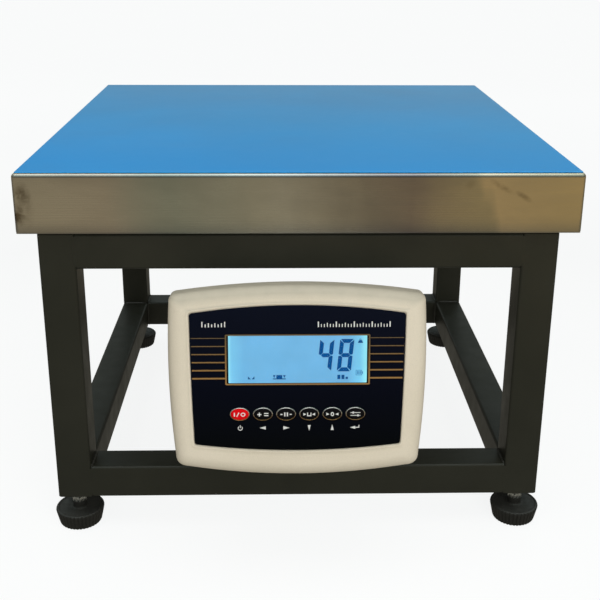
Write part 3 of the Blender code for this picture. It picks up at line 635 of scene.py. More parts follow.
def arc(centre, radius, start, sweep, steps):
    return [(centre[0] + radius * math.cos(start + sweep * i / steps),
             centre[1] + radius * math.sin(start + sweep * i / steps)) for i in range(steps + 1)]


def circle(radius, steps=48):
    return [(radius * math.cos(2 * math.pi * i / steps), radius * math.sin(2 * math.pi * i / steps))
            for i in range(steps)]


def ellipse(half_width, half_height, steps=48):
    return [(x * half_width, y * half_height) for x, y in circle(1, steps)]


def rounded_rectangle(width, height, radius, steps=7):
    across, up = width / 2 - radius, height / 2 - radius
    points = []
    for turn, (sx, sy) in enumerate(((1, 1), (-1, 1), (-1, -1), (1, -1))):
        points += arc((sx * across, sy * up), radius, turn * math.pi / 2, math.pi / 2, steps)
    return points


def flat_ring(points, height):
    return [(x, y, height) for x, y in points]


def upright_ring(points, depth):
    return [(x, depth, z) for x, z in points]


def polar_ring(steps, height, radius_at, turn=0.0):
    """A level ring whose radius depends on the angle."""
    ring = []
    for i in range(steps):
        angle = 2 * math.pi * i / steps
        radius = radius_at(angle)
        ring.append((radius * math.cos(angle + turn), radius * math.sin(angle + turn), height))
    return ring


def hexagon(flat, limit):
    """Radius by angle of a hexagon whose corners are turned off at limit."""
    return lambda angle: min(flat / math.cos((angle + math.pi / 6) % (math.pi / 3) - math.pi / 6), limit)


def rounded_rings(width, depth, levels, steps=8):
    """Level rounded rectangles; levels are (inset, height, corner radius)."""
    return [flat_ring(rounded_rectangle(width - 2 * inset, depth - 2 * inset, radius, steps), height)
            for inset, height, radius in levels]


def between(first, second, share):
    return [tuple(a + (b - a) * share for a, b in zip(p, q)) for p, q in zip(first, second)]


def turned(profile, steps=48):
    return loft([flat_ring(circle(radius, steps), height) for radius, height in profile])


def smooth_path(points, steps):
    """A Catmull-Rom curve through 2-D points."""
    ends = [points[0]] + list(points) + [points[-1]]
    path = []
    for before, start, end, after in zip(ends, ends[1:], ends[2:], ends[3:]):
        for i in range(steps):
            t = i / steps
            path.append(tuple(0.5 * (2 * b + (c - a) * t + (2 * a - 5 * b + 4 * c - d) * t * t
                                     + (3 * b - a - 3 * c + d) * t ** 3)
                              for a, b, c, d in zip(before, start, end, after)))
    return path + [tuple(points[-1])]


def bowed_edge(start, end, bow, steps):
    along = end - start
    side = Vector((along.y, -along.x)).normalized()
    return [tuple(start + along * t + side * bow * 4 * t * (1 - t))
            for t in (i / steps for i in range(steps + 1))]


def pillow(outline, inset=0.0):
    """The indicator's barrel outline, drawn in by inset, with smooth corners."""
    half_top, half_bottom, top, bottom, rise, drop, top_radius, bottom_radius, bulge = outline
    half_top, half_bottom = half_top - inset, half_bottom - inset
    top, bottom = top - inset, bottom + inset
    top_radius = max(top_radius - CORNER_SHRINK * inset, LEAST_CORNER)
    bottom_radius = max(bottom_radius - CORNER_SHRINK * inset, LEAST_CORNER)
    corners = [Vector(corner) for corner in ((-half_top, top), (half_top, top), (half_bottom, bottom),
                                             (-half_bottom, bottom))]
    radii = (top_radius, top_radius, bottom_radius, bottom_radius)
    bows = (-rise, -bulge, -drop, -bulge)
    points = []
    for i, steps in enumerate((30, 14, 30, 14)):
        here, ahead, beyond = corners[i], corners[(i + 1) % 4], corners[(i + 2) % 4]
        along, onward = (ahead - here).normalized(), (beyond - ahead).normalized()
        radius = radii[(i + 1) % 4]
        edge = bowed_edge(here + along * radii[i], ahead - along * radius, bows[i], steps)
        start, end = Vector(edge[-1]), ahead + onward * radius
        leaving = (start - Vector(edge[-2])).normalized()
        slope = math.atan2(-4 * bows[(i + 1) % 4], (beyond - ahead).length)
        arriving = Matrix.Rotation(slope, 2) @ onward
        middle = (start + leaving * leaving.dot(end - start) + end - arriving * arriving.dot(end - start)) / 2
        points += edge[:-1]
        points += [tuple(start * (1 - t) ** 2 + middle * 2 * t * (1 - t) + end * t ** 2)
                   for t in (k / 10 for k in range(10))]
    return points


def slab(loops, front, thickness):
    """A flat sheet in the face plane, front at the given depth; the loops after the first are holes."""
    builder = bmesh.new()
    edges = []
    for loop in loops:
        verts = [builder.verts.new((x, front, z)) for x, z in loop]
        edges += [builder.edges.new((verts[i], verts[(i + 1) % len(verts)])) for i in range(len(verts))]
    bmesh.ops.triangle_fill(builder, use_beauty=True, use_dissolve=False, edges=edges)
    grown = bmesh.ops.extrude_face_region(builder, geom=builder.faces[:])
    verts = [item for item in grown["geom"] if isinstance(item, bmesh.types.BMVert)]
    bmesh.ops.translate(builder, vec=(0, thickness, 0), verts=verts)
    return builder


def printed(shapes, surface, thickness=PRINT):
    """Flat shapes raised by the thickness of the ink from a surface at the given depth."""
    return merged([slab(shape, surface - thickness, thickness) for shape in shapes])


def moved(loop, x, z):
    return [(x + px, z + pz) for px, pz in loop]


# a shape is a list of loops: its outline, then its holes

def box_shape(x0, z0, x1, z1):
    return [[(x0, z0), (x1, z0), (x1, z1), (x0, z1)]]


def frame_shape(x0, z0, x1, z1, line):
    return box_shape(x0, z0, x1, z1) + box_shape(x0 + line, z0 + line, x1 - line, z1 - line)


def ring_shape(x, z, outer, inner, squeeze=1.0):
    return [moved(ellipse(radius, radius * squeeze, 32), x, z) for radius in (outer, inner)]


def stroke_shape(start, end, width):
    along = Vector(end) - Vector(start)
    side = Vector((along.y, -along.x)).normalized() * width / 2
    return [[Vector(start) + side, Vector(end) + side, Vector(end) - side, Vector(start) - side]]


def triangle(x, z, size, direction):
    """A solid arrowhead pointing along direction, an angle in degrees."""
    turn = math.radians(direction)
    points = ((0.62, 0), (-0.5, 0.52), (-0.5, -0.52))
    return [[(x + size * (px * math.cos(turn) - pz * math.sin(turn)),
              z + size * (px * math.sin(turn) + pz * math.cos(turn))) for px, pz in points]]


def wobble(point, size, strength):
    """A slow, repeatable unevenness in space."""
    return noise.noise(Vector(point) / size) * strength


def measured(node):
    """Centre and size of a CAD node's box."""
    low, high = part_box(node)
    return (low + high) / 2, high - low


def footprint(node):
    """Where a CAD node stands: the middle of its box at its lowest level."""
    low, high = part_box(node)
    return Matrix.Translation(((low.x + high.x) / 2, (low.y + high.y) / 2, low.z))


# ---------------------------------------------------------------- stand

def tube_along(axis, size, chamfer):
    """A closed square-tube shape along an axis, its ends slightly rounded over."""
    half = size[axis] / 2
    first, second = (i for i in range(3) if i != axis)
    rings = []
    for along, inset in ((-half, chamfer), (chamfer - half, 0), (half - chamfer, 0), (half, chamfer)):
        ring = []
        for point in rounded_rectangle(size[first] - 2 * inset, size[second] - 2 * inset, TUBE_CORNER):
            spot = Vector()
            spot[first], spot[second], spot[axis] = *point, along
            ring.append(spot)
        rings.append(ring)
    return loft(rings)


def make_tubes():
    parts = [(f"leg_{corner}", 2) for corner in CORNER_NAMES]
    parts += [(f"{level}_rail_{side}", 0 if side in ("front", "back") else 1)
              for level in ("lower", "top") for side in ("front", "back", "left", "right")]
    parts += [("cross_beam", 0), ("carrier_beam_left", 1), ("carrier_beam_right", 1), ("carrier_crossbar", 0)]
    for node, axis in parts:
        centre, size = measured(node)
        body = "carrier" if node.startswith("carrier") else "stand"
        tube = tube_along(axis, size, LEG_CHAMFER if axis == 2 else RAIL_CHAMFER)
        piece(f"painted_{node}", tube, "paint", body, (node,), Matrix.Translation(centre))


def bead(start, end, radius):
    """A fillet weld's rippled run, a little uneven along its length."""
    along = end - start
    turn = along.to_track_quat('Z', 'Y').to_matrix()
    steps = max(8, int(along.length / BEAD_STEP))
    rings = []
    for i in range(steps + 1):
        t = i / steps
        middle = start + along * t
        swell = radius + wobble(middle, 3 * MM, BEAD_RIPPLE) + 0.25 * BEAD_RIPPLE * math.cos(i * math.pi)
        swell *= math.sqrt(max(0.08, 1 - (2 * t - 1) ** 12))
        rings.append([middle + turn @ Vector((x, y, 0)) for x, y in circle(swell, 10)])
    return loft(rings)


def flush_weld(centre, half_height, normal_axis, sign, across_axis):
    """A ground-flush butt weld on an outer face: a low, soft-edged pad with slight waves."""
    builder = bmesh.new()
    columns, rows = 9, 25
    grid = []
    for i in range(columns):
        for j in range(rows):
            u, v = 2 * i / (columns - 1) - 1, 2 * j / (rows - 1) - 1
            spot = Vector(centre)
            shade = centre[0] * 40 + centre[2] * 30 + centre[1] * 20
            edge = wobble((u * 2, v * 9, shade), 1, SEAM_RAGGED) if abs(u) > 0.5 else 0
            spot[across_axis] += u * SEAM_HALF_WIDTH + edge
            spot.z += v * half_height
            rise = (1 - u ** 4) * (1 - v ** 8)
            height = rise * SEAM_LIFT - (1 - rise) * SEAM_SINK + wobble(spot, 5 * MM, SEAM_WAVE) * rise
            spot[normal_axis] += sign * height
            grid.append(builder.verts.new(spot))
    for i in range(columns - 1):
        for j in range(rows - 1):
            a = i * rows + j
            builder.faces.new((grid[a], grid[a + 1], grid[a + rows + 1], grid[a + rows]))
    return builder


def make_welds():
    """Every rail meets a leg with a flush weld outside and fillet runs on the faces inside."""
    fills, runs = [], []
    for side, axis, outward in (("front", 0, -1), ("back", 0, 1), ("left", 1, -1), ("right", 1, 1)):
        facing = 1 - axis

        def run(seam, first, second, radius):
            """A bead at one place along the rail, between two points given across it and in height."""
            ends = [Vector((0, 0, height)) for _, height in (first, second)]
            for end, (across, _) in zip(ends, (first, second)):
                end[axis], end[facing] = seam, across
            runs.append(bead(*ends, radius))

        for level in ("lower", "top"):
            centre, size = measured(f"{level}_rail_{side}")
            half = size / 2
            inner = centre[facing] - outward * half[facing]
            reach = outward * (half[facing] - WELD_END)
            bottom, top = centre.z - half.z, centre.z + half.z
            for end in (-1, 1):
                outer = Vector(centre)
                outer[axis] += end * (half[axis] + SEAM_MIDDLE)
                outer[facing] += outward * half[facing]
                fills.append(flush_weld(outer, half.z - SEAM_SHORT, facing, outward, axis))
                seam = centre[axis] + end * (half[axis] - SEAM_EDGE)
                for height in (bottom, top):
                    run(seam, (centre[facing] - reach, height), (centre[facing] + reach, height), BEAD_RADIUS)
                run(seam, (inner, bottom + 2 * MM), (inner, top - 2 * MM), BEAD_RADIUS * BEAD_SHARE)
    piece("flush_welds", merged(fills), "paint", "stand", smooth=60)
    piece("fillet_welds", merged(runs), "weld", "stand", smooth=60)


# ---------------------------------------------------------------- feet

def fluted(radius, share):
    return lambda angle: radius - share * FLUTE_DEPTH * max(0.0, math.cos(FLUTES * angle)) ** 0.7


def threaded(height):
    """Radius by angle of the thread at one height."""
    return lambda angle: STUD_CREST - THREAD_DEPTH * abs(
        2 * ((height / THREAD_PITCH - angle / (2 * math.pi)) % 1) - 1) ** 1.2


def make_foot(corner):
    centre, size = measured(f"foot_pad_{corner}")
    at = Matrix.Translation((centre.x, centre.y, 0))
    rim = size.x / 2
    rings = [polar_ring(PAD_STEPS, height * MM, fluted(rim - inward * MM, share))
             for inward, height, share in PAD_SIDE]
    top = [(rim - inward * MM, height * MM) for inward, height in PAD_RIM] + list(mm(PAD_HUB))
    rings += [flat_ring(circle(radius, PAD_STEPS), height) for radius, height in smooth_path(top, 3)]
    piece(f"fluted_pad_{corner}", loft(rings), "rubber", f"foot_{corner}", (f"foot_pad_{corner}",),
          at, 50)
    stud = make_stud(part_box(f"foot_stud_{corner}")[1].z, math.radians(11 if "left" in corner else -14))
    piece(f"threaded_stud_{corner}", stud, "zinc", f"stud_{corner}", (f"foot_stud_{corner}",), at, 40)


def make_stud(end, turn):
    """Threaded stud with its chamfered hexagon, left at a turn of its own."""
    bottom, top = STUD_HEX
    chamfer = mm(STUD_HEX_RINGS)
    nut = [(bottom + rise, limit) for rise, limit in chamfer]
    nut += [(top - rise, limit) for rise, limit in reversed(chamfer)]
    rings = [flat_ring(circle(6 * MM, STUD_STEPS), bottom - 0.2 * MM)]
    rings += [polar_ring(STUD_STEPS, height, hexagon(STUD_HEX_FLAT, limit), turn) for height, limit in nut]
    count = int((THREAD_TOP - top) / (THREAD_PITCH / 6))
    heights = [top + (THREAD_TOP - top) * k / count for k in range(count + 1)]
    rings += [polar_ring(STUD_STEPS, height, threaded(height)) for height in heights]
    return loft(rings + [flat_ring(circle(STUD_NECK, STUD_STEPS), end)])


# ---------------------------------------------------------------- platter

def make_platter():
    """Folded tray: tight bends along the top edges, rounded vertical corners and a hemmed lower edge."""
    side, height = measured("platter")[1].xz
    levels = [(SHEET, height - SHEET, 1.5 * MM), (SHEET, 0, 1.5 * MM), mm((0.6, 0, 2.4)),
              (0.25 * MM, 0.9 * MM, BEND - 0.25 * MM), (0, 1.8 * MM, BEND)]
    levels += [(0, z, BEND) for z in (height * 0.3, height * 0.6, height - BEND)]
    for i in range(1, 10):
        angle = math.pi / 2 * i / 9
        inset = BEND * (1 - math.cos(angle))
        levels.append((inset, height - BEND * (1 - math.sin(angle)), max(BEND - inset, 0.5 * MM)))
    levels += [(inset, height, 0.5 * MM) for inset in (9 * MM, 30 * MM)]
    piece("folded_platter", loft(rounded_rings(side, side, levels)), "stainless", "platter",
          ("platter",), footprint("platter"), 30)


def make_film():
    side, thickness = measured("platter_film")[1].xz
    levels = [(*mm(level), 2 * MM) for level in FILM_EDGE]
    levels += [(inset, thickness, 2 * MM) for inset in (0.85 * MM, 4 * MM)]
    piece("blue_top_film", loft(rounded_rings(side, side, levels)), "film", "platter",
          ("platter_film",), footprint("platter_film"), 30)


# ---------------------------------------------------------------- support and weighing works

def make_pads():
    for corner in CORNER_NAMES:
        node = f"rubber_pad_{corner}"
        size = measured(node)[1]
        radius, height = size.x / 2, size.z
        side = ((radius - 0.4 * MM, 0), (radius, 0.6 * MM), (radius - 0.4 * MM, 2.4 * MM),
                (radius - 2.8 * MM, height - 1.8 * MM), (radius - 4.2 * MM, height))
        hollow = [(4 * MM, height), (3 * MM, height - 3 * MM), (0.5 * MM, height - 3 * MM)]
        piece(f"moulded_pad_{corner}", turned(smooth_path(side, 4) + hollow), "rubber", "carrier",
              (node,), footprint(node), 40)


def make_spacer():
    """The steel block between the load cell and the upper frame, clear of the cell at full load."""
    size = measured("upper_spacer")[1]
    tall, edge = size.z - SPACER_ROOM, 0.3 * MM
    levels = [(inset, z, 0.8 * MM) for inset, z in ((edge, 0), (0, edge), (0, tall - edge), (edge, tall))]
    seat = footprint("upper_spacer") @ Matrix.Translation((0, 0, SPACER_ROOM))
    piece("ground_spacer", loft(rounded_rings(size.x, size.y, levels, 7)), "steel", "carrier",
          ("upper_spacer",), seat)


def dress_nodes():
    """Give the remaining CAD nodes their finish and softly rounded edges."""
    for node, (look, bevel) in FINISHES.items():
        made = frame["nodes"][node]
        made.data.materials.clear()
        made.data.materials.append(LOOKS[look])
        made.modifiers.new("weld", 'WELD').merge_threshold = 1e-6
        rounding = made.modifiers.new("edges", 'BEVEL')
        rounding.width = bevel * MM
        rounding.segments = 3
        rounding.limit_method = 'ANGLE'
        rounding.angle_limit = math.radians(40)
        made.data.shade_smooth()
        made.modifiers.new("shade", 'EDGE_SPLIT').split_angle = math.radians(34)


def hex_bolt(radius, height, flats, shank_radius, shank_end):
    """A chamfered hexagon head on a plain shank, the head standing on z = 0."""
    shank = circle(shank_radius, HEX_STEPS)
    levels = ((0, radius), (height - BOLT_CHAMFER, radius), (height, radius - 2 * BOLT_CHAMFER),
              (height, radius * 0.4))
    return loft([flat_ring(shank, shank_end), flat_ring(shank, 0)]
                + [polar_ring(HEX_STEPS, z, hexagon(flats / 2, limit)) for z, limit in levels])


def make_bolts():
    for side in ("left", "right"):
        low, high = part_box(f"post_bolt_{side}")
        seat = Vector(((low.x + high.x) / 2, (low.y + high.y) / 2, high.z - POST_BOLT[1]))
        piece(f"hex_bolt_{side}", hex_bolt(*POST_BOLT, low.z - seat.z), "zinc", "stand",
              (f"post_bolt_{side}",), Matrix.Translation(seat), 30)
    low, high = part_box("tilt_bolt")
    seat = Vector((low.x + TILT_BOLT_SEAT, PIVOT.y, PIVOT.z))
    piece("tilt_hex_bolt", hex_bolt(*TILT_BOLT, seat.x - high.x), "zinc", "stand", ("tilt_bolt",),
          Matrix.Translation(seat) @ Matrix.Rotation(-math.pi / 2, 4, 'Y'), 30)


def make_knob():
    rings = []
    for radius, height in KNOB:
        lobe = 1.5 * max(0.0, min(1.0, (radius - 9) / 5))
        rings.append(polar_ring(KNOB_STEPS, height * MM, lambda a: (radius + lobe * math.cos(6 * a)) * MM))
    seat = Matrix.Translation((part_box("clamp_knob")[0].x, PIVOT.y, PIVOT.z))
    piece("lobed_knob", loft(rings, closed=True), "plastic", "knob", ("clamp_knob",),
          seat @ Matrix.Rotation(math.pi / 2, 4, 'Y'), 40)


# ---------------------------------------------------------------- indicator's case

def case_rings(outline, levels):
    """Rings of an outline; levels are (inset, depth) in millimetres."""
    return [upright_ring(pillow(outline, inset * MM), depth * MM) for inset, depth in levels]


def make_case():
    roll = [(15 * (1 - math.cos(a)), 14 - 13.4 * math.sin(a))
            for a in (math.pi / 2 * i / 14 for i in range(15))]
    rings = case_rings(HOUSING_OUTLINE, [*CASE_REAR, *roll])
    broad, (lip,) = rings[-1], case_rings(PANEL_OUTLINE, [(-3.2, 0.35)])
    rings += [between(broad, lip, 0.35), between(broad, lip, 0.7), lip]
    rings += case_rings(PANEL_OUTLINE, CASE_LIP) + case_rings(HOUSING_OUTLINE, CASE_INSIDE)
    on_face("moulded_front", loft(rings, closed=True), "housing", ("front_housing",), 32)
    rings = case_rings(HOUSING_OUTLINE, [(3, 32.35), *smooth_path(COVER_BACK, 4)])
    rings.append(upright_ring(pillow(HOUSING_OUTLINE, 24 * MM), COVER_DEPTH))
    on_face("moulded_back", loft(rings), "housing", ("rear_cover",), 32)


def around_window(width, height, radius, shift=0.0):
    return moved(rounded_rectangle(width, height, radius), shift, WINDOW_HEIGHT)


def key_x(number):
    return (number - (len(KEY_NAMES) - 1) / 2) * KEY_PITCH


def make_panel():
    window = around_window(WINDOW_SIZE[0] + 0.6 * MM, WINDOW_SIZE[1] + 0.6 * MM, 1.5 * MM)
    holes = [moved(ellipse(*KEY_HOLE), key_x(n), KEY_HEIGHT) for n in range(len(KEY_NAMES))]
    sheet = slab([pillow(PANEL_OUTLINE, 0.1 * MM), window, *holes], PANEL_FRONT, PANEL_SHEET)
    on_face("printed_panel", sheet, "panel", ("face_panel",), 30)


def panel_half_width(height):
    half_top, half_bottom, top, bottom = PANEL_OUTLINE[:4]
    return half_bottom + (half_top - half_bottom) * (height - bottom) / (top - bottom) + PANEL_OUTLINE[-1]


def make_gold_lines():
    """The frame round the window and six stripes on each side, heavier towards the bottom."""
    wide, high = GOLD_FRAME
    inner = around_window(2 * (wide - GOLD_LINE), 2 * (high - GOLD_LINE), 0.6 * MM)
    line = slab([around_window(2 * wide, 2 * high, 1.2 * MM), inner], 0.28 * MM, 0.14 * MM)
    strips = []
    for number, height in enumerate(STRIPE_HEIGHTS):
        half = (0.36 + 0.09 * number) * MM
        near, far = wide + 0.1 * MM, panel_half_width(height) - 1.3 * MM
        strips += [box_shape(side * near, height - half, side * far, height + half) for side in (-1, 1)]
    on_face("gold_window_frame", line, "gold")
    on_face("gold_stripes", printed(strips, PANEL_FRONT), "gold")


# ---------------------------------------------------------------- display

def digit_segments(symbol, x):
    """Mitred seven-segment strokes of one slanted digit centred on x."""
    half, high, mid, gap = DIGIT_SIZE[0] / 2, DIGIT_SIZE[1] / 2, DIGIT_STROKE / 2, DIGIT_GAP
    inner_x, inner_z = half - DIGIT_STROKE, high - DIGIT_STROKE

    def mirrored(shape, across, up):
        return [(px * across, pz * up) for px, pz in reversed(shape)]

    shapes = {
        "a": ((-half + gap * 2.4, high), (half - gap * 2.4, high), (inner_x - gap * 0.4, inner_z),
              (-inner_x + gap * 0.4, inner_z)),
        "f": ((-half, high - gap * 2.4), (-inner_x, inner_z - gap), (-inner_x, mid + gap * 0.6),
              (-half + mid, gap), (-half, gap + 0.7 * MM)),
        "g": ((-half + mid + gap, 0), (-inner_x + gap * 0.6, mid), (inner_x - gap * 0.6, mid),
              (half - mid - gap, 0), (inner_x - gap * 0.6, -mid), (-inner_x + gap * 0.6, -mid)),
    }
    shapes["b"], shapes["d"] = mirrored(shapes["f"], -1, 1), mirrored(shapes["a"], 1, -1)
    shapes["e"] = mirrored(shapes["f"], 1, -1)
    shapes["c"] = mirrored(shapes["e"], -1, 1)
    return [[[(x + px + pz * DIGIT_SLANT, DIGIT_MIDDLE + pz) for px, pz in shapes[key]]]
            for key in SEGMENTS[symbol]]


def make_display():
    screen = slab([around_window(*SCREEN_SIZE, 0.8 * MM, 0.1 * MM)], SCREEN_DEPTH - 0.15 * MM, 0.12 * MM)
    on_face("backlit_screen", screen, "screen")
    mask = around_window(WINDOW_SIZE[0] + 2 * MM, WINDOW_SIZE[1] + 2 * MM, 1 * MM)
    on_face("screen_mask", slab([mask], SCREEN_DEPTH - 0.03 * MM, 0.03 * MM), "panel")
    strokes = [stroke for symbol, x in DIGITS for stroke in digit_segments(symbol, x)]
    on_face("weight_digits", printed(strokes, INK_FRONT, INK), "ink")
    make_small_marks()
    glass = slab([around_window(*WINDOW_SIZE, 1.2 * MM)], 0.4 * MM, 0.9 * MM)
    on_face("clear_window", glass, "glass", ("lcd_window",))


def make_small_marks():
    """Pictograms of the display: a weight, a net pair, a load on a pan, a pause sign and a battery."""
    marks = [[mm(WEIGHT_MARK)], ring_shape(*mm((64.1, 38, 1.05, 0.5)))]
    marks += [[mm(((x - side, -0.1), (x - side, -3.2), (x + side, -3.2)))] for x, side in NET_MARKS]
    marks += [box_shape(*mm(block)) for block in MARK_BLOCKS]
    marks += [triangle(*mm((x, -0.3, 2.6)), -90) for x in (-24, -13.6)]
    on_face("display_marks", printed(marks, INK_FRONT, INK), "ink")
    battery = [frame_shape(*mm((59.6, 0.6, 65.9, 6.1, 0.55))), box_shape(*mm((66, 2.1, 66.9, 4.6)))]
    battery += [box_shape(*mm((x, 1.8, x + 1, 4.9))) for x in (60.8, 62.3, 63.8)]
    on_face("battery_mark", printed(battery, INK_FRONT, INK), "faint")


# ---------------------------------------------------------------- print on the panel

def ticks(row, tick):
    """A row of ticks; tick gives the height and half width of each by its number."""
    count, start, length, foot = row
    shapes = []
    for i in range(count):
        x = start + length * i / (count - 1)
        tall, half = tick(i)
        shapes.append(box_shape(*mm((x - half, foot, x + half, foot + tall))))
    return shapes


def make_graduations():
    """Rows of scale ticks where a panel carries its titles."""
    shapes = ticks(LONG_ROW, lambda i: (5.7, 0.62) if i % 6 == 0 else (3.2 if i % 3 else 4.4, 0.45))
    shapes += ticks(SHORT_ROW, lambda i: (5.7 if i in (0, 7) else 3.0 if i % 2 else 4.2, 0.55))
    on_face("panel_graduations", printed(shapes, PANEL_FRONT), "white")


def power_symbol(x, z, size):
    """An open ring with a bar through its gap."""
    ring = arc((x, z), size, math.radians(128), math.radians(284), 28)
    ring += arc((x, z), size * 0.72, math.radians(52), math.radians(-284), 28)
    return [[ring], box_shape(x - size * 0.15, z + size * 0.12, x + size * 0.15, z + size * 1.22)]


def make_icons():
    """The row of small symbols under the keys."""
    shapes = power_symbol(key_x(0) + 0.4 * MM, ICON_HEIGHT - 0.2 * MM, 2.5 * MM)
    for key, shift, size, direction, across, up in ICONS:
        arrow, = triangle(0, 0, size * MM, direction)
        shapes.append([moved([(x * across, z * up) for x, z in arrow], key_x(key) + shift * MM, ICON_HEIGHT)])
    last, right = key_x(5), key_x(5) + 4.2 * MM
    shapes.append(box_shape(last - 1 * MM, ICON_HEIGHT - 0.4 * MM, right, ICON_HEIGHT + 0.4 * MM))
    shapes.append(box_shape(right - 0.8 * MM, ICON_HEIGHT + 0.4 * MM, right, ICON_HEIGHT + 2.6 * MM))
    on_face("key_icons", printed(shapes, PANEL_FRONT), "white")


# ---------------------------------------------------------------- keys

def key_rings(levels):
    """Rings of a key; levels are (inset, depth) in millimetres."""
    return [upright_ring(ellipse(KEY_SIZE[0] - inset * MM, KEY_SIZE[1] - inset * MM, 64), depth * MM)
            for inset, depth in levels]


def key_symbol(name):
    """Shapes that stand for a key's job, drawn about its centre."""
    boxes, arrows, ring = KEY_SYMBOLS[name]
    shapes = [box_shape(*box) for box in boxes] + [triangle(x, 0, ARROWHEAD, way) for x, way in arrows]
    if name == "on_off":
        shapes.append(stroke_shape(*SLASH))
    if ring:
        shapes.append(ring_shape(ring[0], 0, *ring[1:]))
    return [[[(x * SYMBOL_SIZE, z * SYMBOL_SIZE) for x, z in loop] for loop in shape] for shape in shapes]


def make_keys():
    for number, name in enumerate(KEY_NAMES):
        at = FACE @ Matrix.Translation((key_x(number), 0, KEY_HEIGHT))
        body, look = f"key_{name}", "black" if number else "red"
        rim = loft(key_rings(KEY_RIM), closed=True)
        cap = loft(key_rings([(KEY_CAP[0][0], 2), *smooth_path(KEY_CAP, 3)]))
        symbol = printed(key_symbol(name), KEY_TOP + KEY_SINK, LABEL + KEY_SINK)
        piece(f"key_rim_{name}", rim, "rim", body, (), at, 60)
        piece(f"key_cap_{name}", cap, look, body, (body,), at, 60)
        piece(f"key_symbol_{name}", symbol, "white", body, (), at)


# ---------------------------------------------------------------- indicator's back

def on_back(x, z):
    return Matrix.Translation((x, COVER_DEPTH, z)) @ BACKWARDS


def make_back_fittings():
    """Socket with its threaded shell and pins, power jack, and cross-head cover screws."""
    socket, jack = on_back(-INLET_X, INLET_Z), on_back(INLET_X, INLET_Z)
    thread = tuple(level for turn in range(4) for level in ((9, 2.2 + turn * 0.7), (8.5, 2.55 + turn * 0.7)))
    shell = turned(mm(SOCKET_FLANGE + thread + SOCKET_MOUTH))
    on_face("socket_shell", shell, "steel", ("load_cell_socket",), 30, socket)
    on_face("socket_core", turned(mm(SOCKET_CORE)), "plastic", (), 40, socket)
    pins = []
    for i in range(5):
        angle = 2 * math.pi * i / 5 + 0.3
        spot = (PIN_CIRCLE * math.cos(angle), PIN_CIRCLE * math.sin(angle), 0)
        pin = turned(mm(SOCKET_PIN), 16)
        bmesh.ops.translate(pin, vec=spot, verts=pin.verts)
        pins.append(pin)
    on_face("socket_pins", merged(pins), "rim", (), 40, socket)
    on_face("jack_body", turned(mm(JACK)), "plastic", ("power_jack",), 30, jack)
    on_face("jack_pin", turned(mm(JACK_PIN), 24), "rim", (), 40, jack)
    lift = Matrix.Translation((0, 0, SCREW_TOP)) @ BACKWARDS
    long, short = SCREW_CROSS
    for number in range(1, 5):
        centre = FACE.inverted() @ measured(f"cover_screw_{number}")[0]
        at = on_back(centre.x, centre.z)
        head = turned(mm(SCREW), 40)
        on_face(f"screw_head_{number}", head, "zinc", (f"cover_screw_{number}",), 50, at)
        cross = [box_shape(-x, -z, x, z) for x, z in ((long, short), (short, long))]
        on_face(f"screw_cross_{number}", printed(cross, PRINT), "plastic", at=at @ lift)


# ---------------------------------------------------------------- studio

def floor_look():
    """Nearly white to the camera with a faint contact shade; a warm workshop floor in reflections."""
    look = Look("studio_floor", 0.9, Specular_IOR_Level=0.0)
    distance = look.node("ShaderNodeVectorMath", {0: look.place()}, operation='LENGTH').outputs["Value"]
    near = look.ramp(look.range(distance, 0.0, 1.0, 0.3, 1.0), (0.0, 0.155), (0.35, 0.105), (1.0, 0.045))
    cloud = look.cloud(0.8, (0.95, 0.96, 0.96), (1.05, 1.06, 1.06), detail=2)
    look.set("Base Color", look.times(near, cloud))
    strength = look.ramp(look.range(distance, 0.0, 1.0, 0.3, 3.0), (0.0, 0.875), (0.25, 0.903), (0.5, 0.925),
                         (1.0, 0.94))
    glow = look.glow((0.99, 1.0, 1.0, 1), strength)
    shown = look.node("ShaderNodeAddShader", {0: look.shader.outputs[0], 1: glow})
    across = look.range(look.axis("X"), 0.0, 1.0, -0.75, 0.8)
    warm = look.ramp(across, (0.06, (0.50, 0.45, 0.325)), (0.46, (0.50, 0.44, 0.31)),
                     (0.82, (0.60, 0.46, 0.24)), (0.97, (0.64, 0.48, 0.24)))
    beyond = look.range(look.math('ABSOLUTE', look.axis("Y")), 0.0, 1.0, 0.7, 1.1)
    card = look.glow(look.mix(beyond, (0.22, 0.21, 0.175), warm))
    bounce = look.glow((0.30, 0.29, 0.25, 1))
    output = next(n for n in look.tree.nodes if n.type == 'OUTPUT_MATERIAL')
    look.feed(output.inputs["Surface"], look.by_ray(bounce, card, shown.outputs[0]))
    return look.material


def make_floor():
    builder = bmesh.new()
    bmesh.ops.create_grid(builder, x_segments=8, y_segments=8, size=FLOOR_REACH)
    mesh = bpy.data.meshes.new("studio_floor")
    builder.to_mesh(mesh)
    builder.free()
    mesh.materials.append(floor_look())
    floor = bpy.data.objects.new("studio_floor", mesh)
    bpy.context.scene.collection.objects.link(floor)


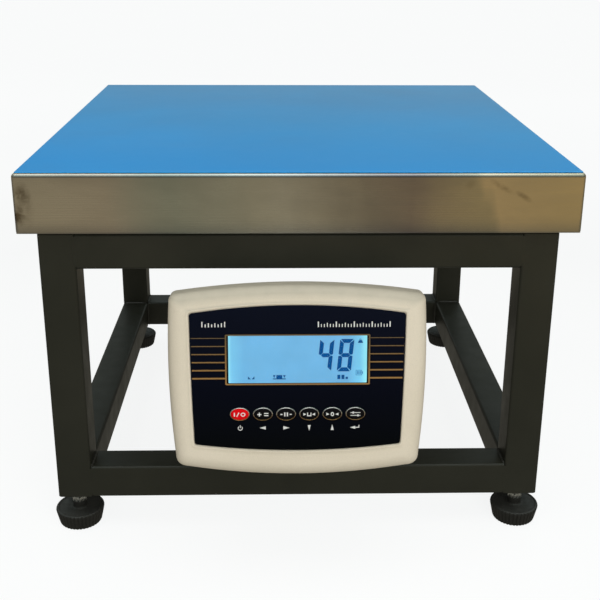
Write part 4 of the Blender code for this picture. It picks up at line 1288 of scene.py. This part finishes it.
def make_world():
    """A dim room for the light, a cooler one for reflections and a plain backdrop for the camera."""
    world = bpy.data.worlds.new("studio")
    bpy.context.scene.world = world
    world.use_nodes = True
    world.node_tree.nodes.clear()
    sky = Shading(world.node_tree)
    up = sky.axis("Z", "Generated")
    room = sky.ramp(up, (0.0, (0.30, 0.28, 0.23)), (0.3, (0.60, 0.60, 0.56)), (1.0, (0.80, 0.82, 0.81)))
    cool = sky.ramp(up, (0.0, (0.15, 0.145, 0.125)), (0.42, (0.24, 0.25, 0.23)), (0.62, (0.60, 0.76, 0.76)),
                    (1.0, (0.72, 0.92, 0.92)))
    backs = [sky.node("ShaderNodeBackground", {"Color": colour, "Strength": strength}).outputs[0]
             for colour, strength in ((room, ROOM_STRENGTH), (cool, 1.0), (BACKDROP, 1.0))]
    sky.node("ShaderNodeOutputWorld", {"Surface": sky.by_ray(*backs)})


def make_lights():
    for name, spot, target, size, power, colour, mirrored in LIGHTS:
        lamp = bpy.data.lights.new(name, 'AREA')
        lamp.shape = 'RECTANGLE'
        lamp.size, lamp.size_y = size
        lamp.energy = power
        lamp.color = colour
        made = bpy.data.objects.new(name, lamp)
        bpy.context.scene.collection.objects.link(made)
        made.location = spot
        made.rotation_euler = (Vector(target) - Vector(spot)).to_track_quat('-Z', 'Y').to_euler()
        made.visible_camera = False
        made.visible_glossy = mirrored


def make_camera():
    data = bpy.data.cameras.new("photo_camera")
    data.sensor_width = 36
    data.lens = CAMERA_LENS
    data.shift_y = CAMERA_SHIFT
    data.clip_start, data.clip_end = 0.05, 60
    camera = bpy.data.objects.new("photo_camera", data)
    bpy.context.scene.collection.objects.link(camera)
    spin = (Matrix.Rotation(CAMERA_PAN, 4, 'Z') @ Matrix.Rotation(math.pi / 2 - CAMERA_DIP, 4, 'X')
            @ Matrix.Rotation(CAMERA_ROLL, 4, 'Z'))
    camera.matrix_world = Matrix.Translation(CAMERA_SPOT) @ spin
    bpy.context.scene.camera = camera


make_tubes()
make_welds()
for corner_name in CORNER_NAMES:
    make_foot(corner_name)
make_platter()
make_film()
make_pads()
make_spacer()
make_case()
make_panel()
make_gold_lines()
make_display()
make_graduations()
make_icons()
make_keys()
make_bolts()
make_knob()
make_back_fittings()
dress_nodes()
make_floor()
make_world()
make_lights()
make_camera()
bpy.context.scene.view_settings.view_transform = 'Standard'
